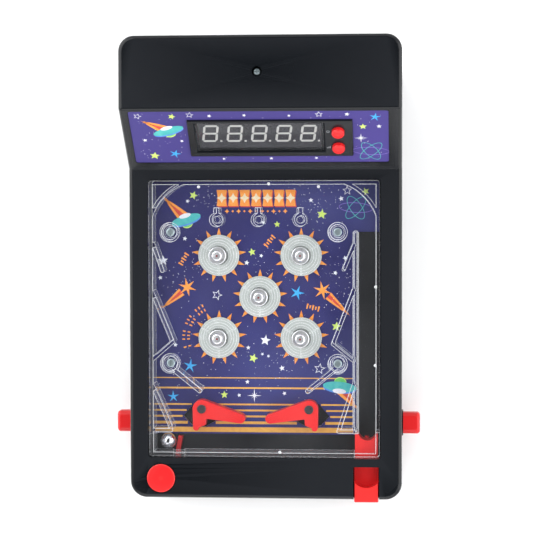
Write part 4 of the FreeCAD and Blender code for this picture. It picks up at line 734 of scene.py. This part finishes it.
# small round mouldings on the clear cover, and wound springs
def lathe(profile, x, y, name, place, finish, body, count=40):
    # a profile of (radius, height) turned round the upright through (x, y); its two end points lie on the axis
    profile = np.asarray(profile, float)
    a = np.linspace(0, 2 * math.pi, count, endpoint=False)
    ring = profile[1:-1]
    grid = np.stack([x + ring[:, 0][:, None] * np.cos(a), y + ring[:, 0][:, None] * np.sin(a),
                     np.repeat(ring[:, 1][:, None], count, axis=1)], axis=-1).reshape(-1, 3)
    verts = np.vstack([[[x, y, profile[0, 1]]], grid, [[x, y, profile[-1, 1]]]])
    rows = len(ring)
    faces = []
    for j in range(count):
        k = (j + 1) % count
        faces.append([0, 1 + k, 1 + j])
        faces.append([len(verts) - 1, 1 + (rows - 1) * count + j, 1 + (rows - 1) * count + k])
        for i in range(rows - 1):
            faces.append([1 + i * count + j, 1 + i * count + k, 1 + (i + 1) * count + k, 1 + (i + 1) * count + j])
    mesh = bpy.data.meshes.new(name)
    mesh.from_pydata(place(verts).tolist(), [], faces)
    mesh.update()
    piece = bpy.data.objects.new(name, mesh)
    bpy.context.scene.collection.objects.link(piece)
    mesh.materials.append(finish)
    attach(piece, body)


def springPiece(name, node, body, foot, along, across, radius, wire, length, turns):
    # a helix swept by a round wire: angle along the turns times angle round the wire; its two ends are capped
    along = np.asarray(along, float)
    across = np.asarray(across, float)
    third = np.cross(along, across)
    steps, sides = int(turns * 28), 10
    a = np.linspace(0, 2 * math.pi * turns, steps + 1)[:, None]
    b = np.linspace(0, 2 * math.pi, sides, endpoint=False)[None, :]
    pitch = (length - wire) / (2 * math.pi * turns)
    lean = math.atan2(pitch, radius)
    out = radius + wire / 2 * np.cos(b)
    rise = wire / 2 * np.sin(b)
    u = out * np.cos(a) + rise * math.sin(lean) * np.sin(a)
    v = out * np.sin(a) - rise * math.sin(lean) * np.cos(a)
    w = wire / 2 + pitch * a + rise * math.cos(lean)
    verts = (np.asarray(foot) + u[..., None] * across + v[..., None] * third + w[..., None] * along).reshape(-1, 3)
    faces = []
    for i in range(steps):
        for j in range(sides):
            k = (j + 1) % sides
            faces.append([i * sides + j, i * sides + sides + j, i * sides + sides + k, i * sides + k])
    faces.append(list(range(sides)))
    faces.append(list(range(steps * sides, steps * sides + sides))[::-1])
    mesh = bpy.data.meshes.new(name)
    mesh.from_pydata(verts.tolist(), [], faces)
    mesh.polygons.foreach_set("use_smooth", [True] * len(faces))
    mesh.update()
    tool = bmesh.new()
    tool.from_mesh(mesh)
    bmesh.ops.recalc_face_normals(tool, faces=tool.faces[:])
    tool.to_mesh(mesh)
    tool.free()
    piece = bpy.data.objects.new(name, mesh)
    bpy.context.scene.collection.objects.link(piece)
    mesh.materials.append(springWire)
    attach(piece, body)
    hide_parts(node)
    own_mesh(piece)


deckX = np.array([1.0, 0, 0])
deckY = np.array([0, math.cos(slopeAngle), math.sin(slopeAngle)])
deckZ = np.array([0, -math.sin(slopeAngle), math.cos(slopeAngle)])
springs = {
    # node: (body it rests on, joint, direction from its fixed end, a direction across it, radius, wire, turns, travel)
    "flipper_spring_left": ("case", "left_button_press", -deckX, deckY, 0.0039, 0.0007, 6, 0.00936),
    "flipper_spring_right": ("case", "right_button_press", deckX, deckY, 0.0039, 0.0007, 6, 0.00936),
    "plunger_spring": ("case", "plunger_pull", deckY, deckX, 0.0036, 0.0007, 9, 0.026),
    "ball_button_spring": ("case", "ball_button_press", deckZ, deckX, 0.0064, 0.0008, 5, 0.005),
}
for name, (body, joint, along, across, radius, wire, turns, travel) in springs.items():
    # its length is the CAD spring's reach along its own axis
    mesh = nodes[name].data
    spots = np.empty(len(mesh.vertices) * 3)
    mesh.vertices.foreach_get("co", spots)
    spots = spots.reshape(-1, 3)
    reach = spots @ along
    third = np.cross(along, across)
    foot = along * reach.min()
    for direction in (across, third):
        sideways = spots @ direction
        foot = foot + direction * (sideways.min() + sideways.max()) / 2
    length = reach.max() - reach.min()
    springPiece("coil_" + name, name, body, foot, along, across, radius, wire, length, turns)
print("springs wound:", len(springs))

gateMarks = {
    "coverTop": -0.001,
    "radius": 0.0011,
    "spots": [(-0.0522, 0.2455), (0.003, 0.2478), (0.0421, 0.2455), (0.0868, 0.167), (0.0864, 0.1055),
              (0.0115, 0.0366)],
}
for number, (x, y) in enumerate(gateMarks["spots"]):
    r = gateMarks["radius"]
    z = gateMarks["coverTop"] + 0.00002
    lathe([(0, z), (r, z), (r, z + 0.00012), (r * 0.8, z + 0.0002), (r * 0.35, z + 0.00014), (0, z + 0.0001)], x, y,
          "cover_gate_mark_%d" % (number + 1), onDeck, clearCover, "case", 28)
print("cover details made")

# stage, light and camera
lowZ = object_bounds()[0][2]
floorMat, _, floorShader = newMaterial("paleFloor")
floorShader.inputs["Base Color"].default_value = (0.97, 0.97, 0.97, 1)
floorShader.inputs["Roughness"].default_value = 0.75
stage = {"half": 3.0, "drop": 0.0002}      # the floor lies a hair under the feet
h = stage["half"]
floorZ = lowZ - stage["drop"]
floorMesh = bpy.data.meshes.new("floor")
floorMesh.from_pydata([(-h, -h, floorZ), (h, -h, floorZ), (h, h, floorZ), (-h, h, floorZ)], [], [(0, 1, 2, 3)])
floor = bpy.data.objects.new("floor", floorMesh)
bpy.context.scene.collection.objects.link(floor)
floorMesh.materials.append(floorMat)

# soft room: dim straight overhead, where the gloss mirrors it, and bright round the sides
room = {"overhead": 0.05, "sides": 1.08, "spread": (0.35, 0.95)}
world = bpy.data.worlds.new("studio")
bpy.context.scene.world = world
world.use_nodes = True
roomTree = world.node_tree
roomCoords = addNode(roomTree, "ShaderNodeTexCoord")
roomSplit = addNode(roomTree, "ShaderNodeSeparateXYZ")
roomTree.links.new(roomCoords.outputs["Generated"], roomSplit.inputs[0])
roomLevel = rangeNode(roomTree, roomSplit.outputs["Z"], room["spread"][0], room["spread"][1],
                      room["sides"], room["overhead"])
roomTree.links.new(roomLevel, roomTree.nodes["Background"].inputs["Strength"])
roomTree.nodes["Background"].inputs["Color"].default_value = (0.97, 0.98, 1.0, 1)
bpy.context.scene.view_settings.view_transform = "Standard"
bpy.context.scene.cycles.transparent_max_bounces = 32


def softBox(name, place, aim, wide, high, power):
    data = bpy.data.lights.new(name, "AREA")
    data.shape = "RECTANGLE"
    data.size = wide
    data.size_y = high
    data.energy = power
    lamp = bpy.data.objects.new(name, data)
    bpy.context.scene.collection.objects.link(lamp)
    lamp.location = place
    lamp.rotation_euler = (Vector(aim) - Vector(place)).to_track_quat("-Z", "Y").to_euler()


lights = {
    "keyLeft": ((-1.25, 0.45, 1.1), 2.0, 2.0, 34.0),
    "fillRight": ((1.3, -0.1, 1.0), 2.0, 2.0, 30.0),
    "rearFill": ((0.1, 1.6, 1.5), 2.0, 1.2, 8.0),
    "frontFill": ((0.0, -1.5, 1.1), 2.0, 1.2, 14.0),
}
for name, (place, wide, high, power) in lights.items():
    softBox(name, place, (0, 0, 0.05), wide, high, power)

view = {"eye": (0.107, 0.23624, 1.36781), "aim": (0.002092, 0.182226, 0.0), "lens": 117.82, "roll": -0.002}
eye = Vector(onDeck(np.array(view["eye"])))
aim = Vector(onDeck(np.array(view["aim"])))
upward = Vector((0, math.cos(slopeAngle), math.sin(slopeAngle)))
back = (eye - aim).normalized()
side = upward.cross(back).normalized()
above = back.cross(side)
side, above = (math.cos(view["roll"]) * side + math.sin(view["roll"]) * above,
               math.cos(view["roll"]) * above - math.sin(view["roll"]) * side)
cameraData = bpy.data.cameras.new("camera")
cameraData.lens = view["lens"]
cameraData.sensor_width = 36
cameraData.clip_start = 0.01
camera = bpy.data.objects.new("camera", cameraData)
bpy.context.scene.collection.objects.link(camera)
camera.matrix_world = Matrix((
    (side.x, above.x, back.x, eye.x), (side.y, above.y, back.y, eye.y), (side.z, above.z, back.z, eye.z), (0, 0, 0, 1)))
bpy.context.scene.camera = camera
print("stage set")
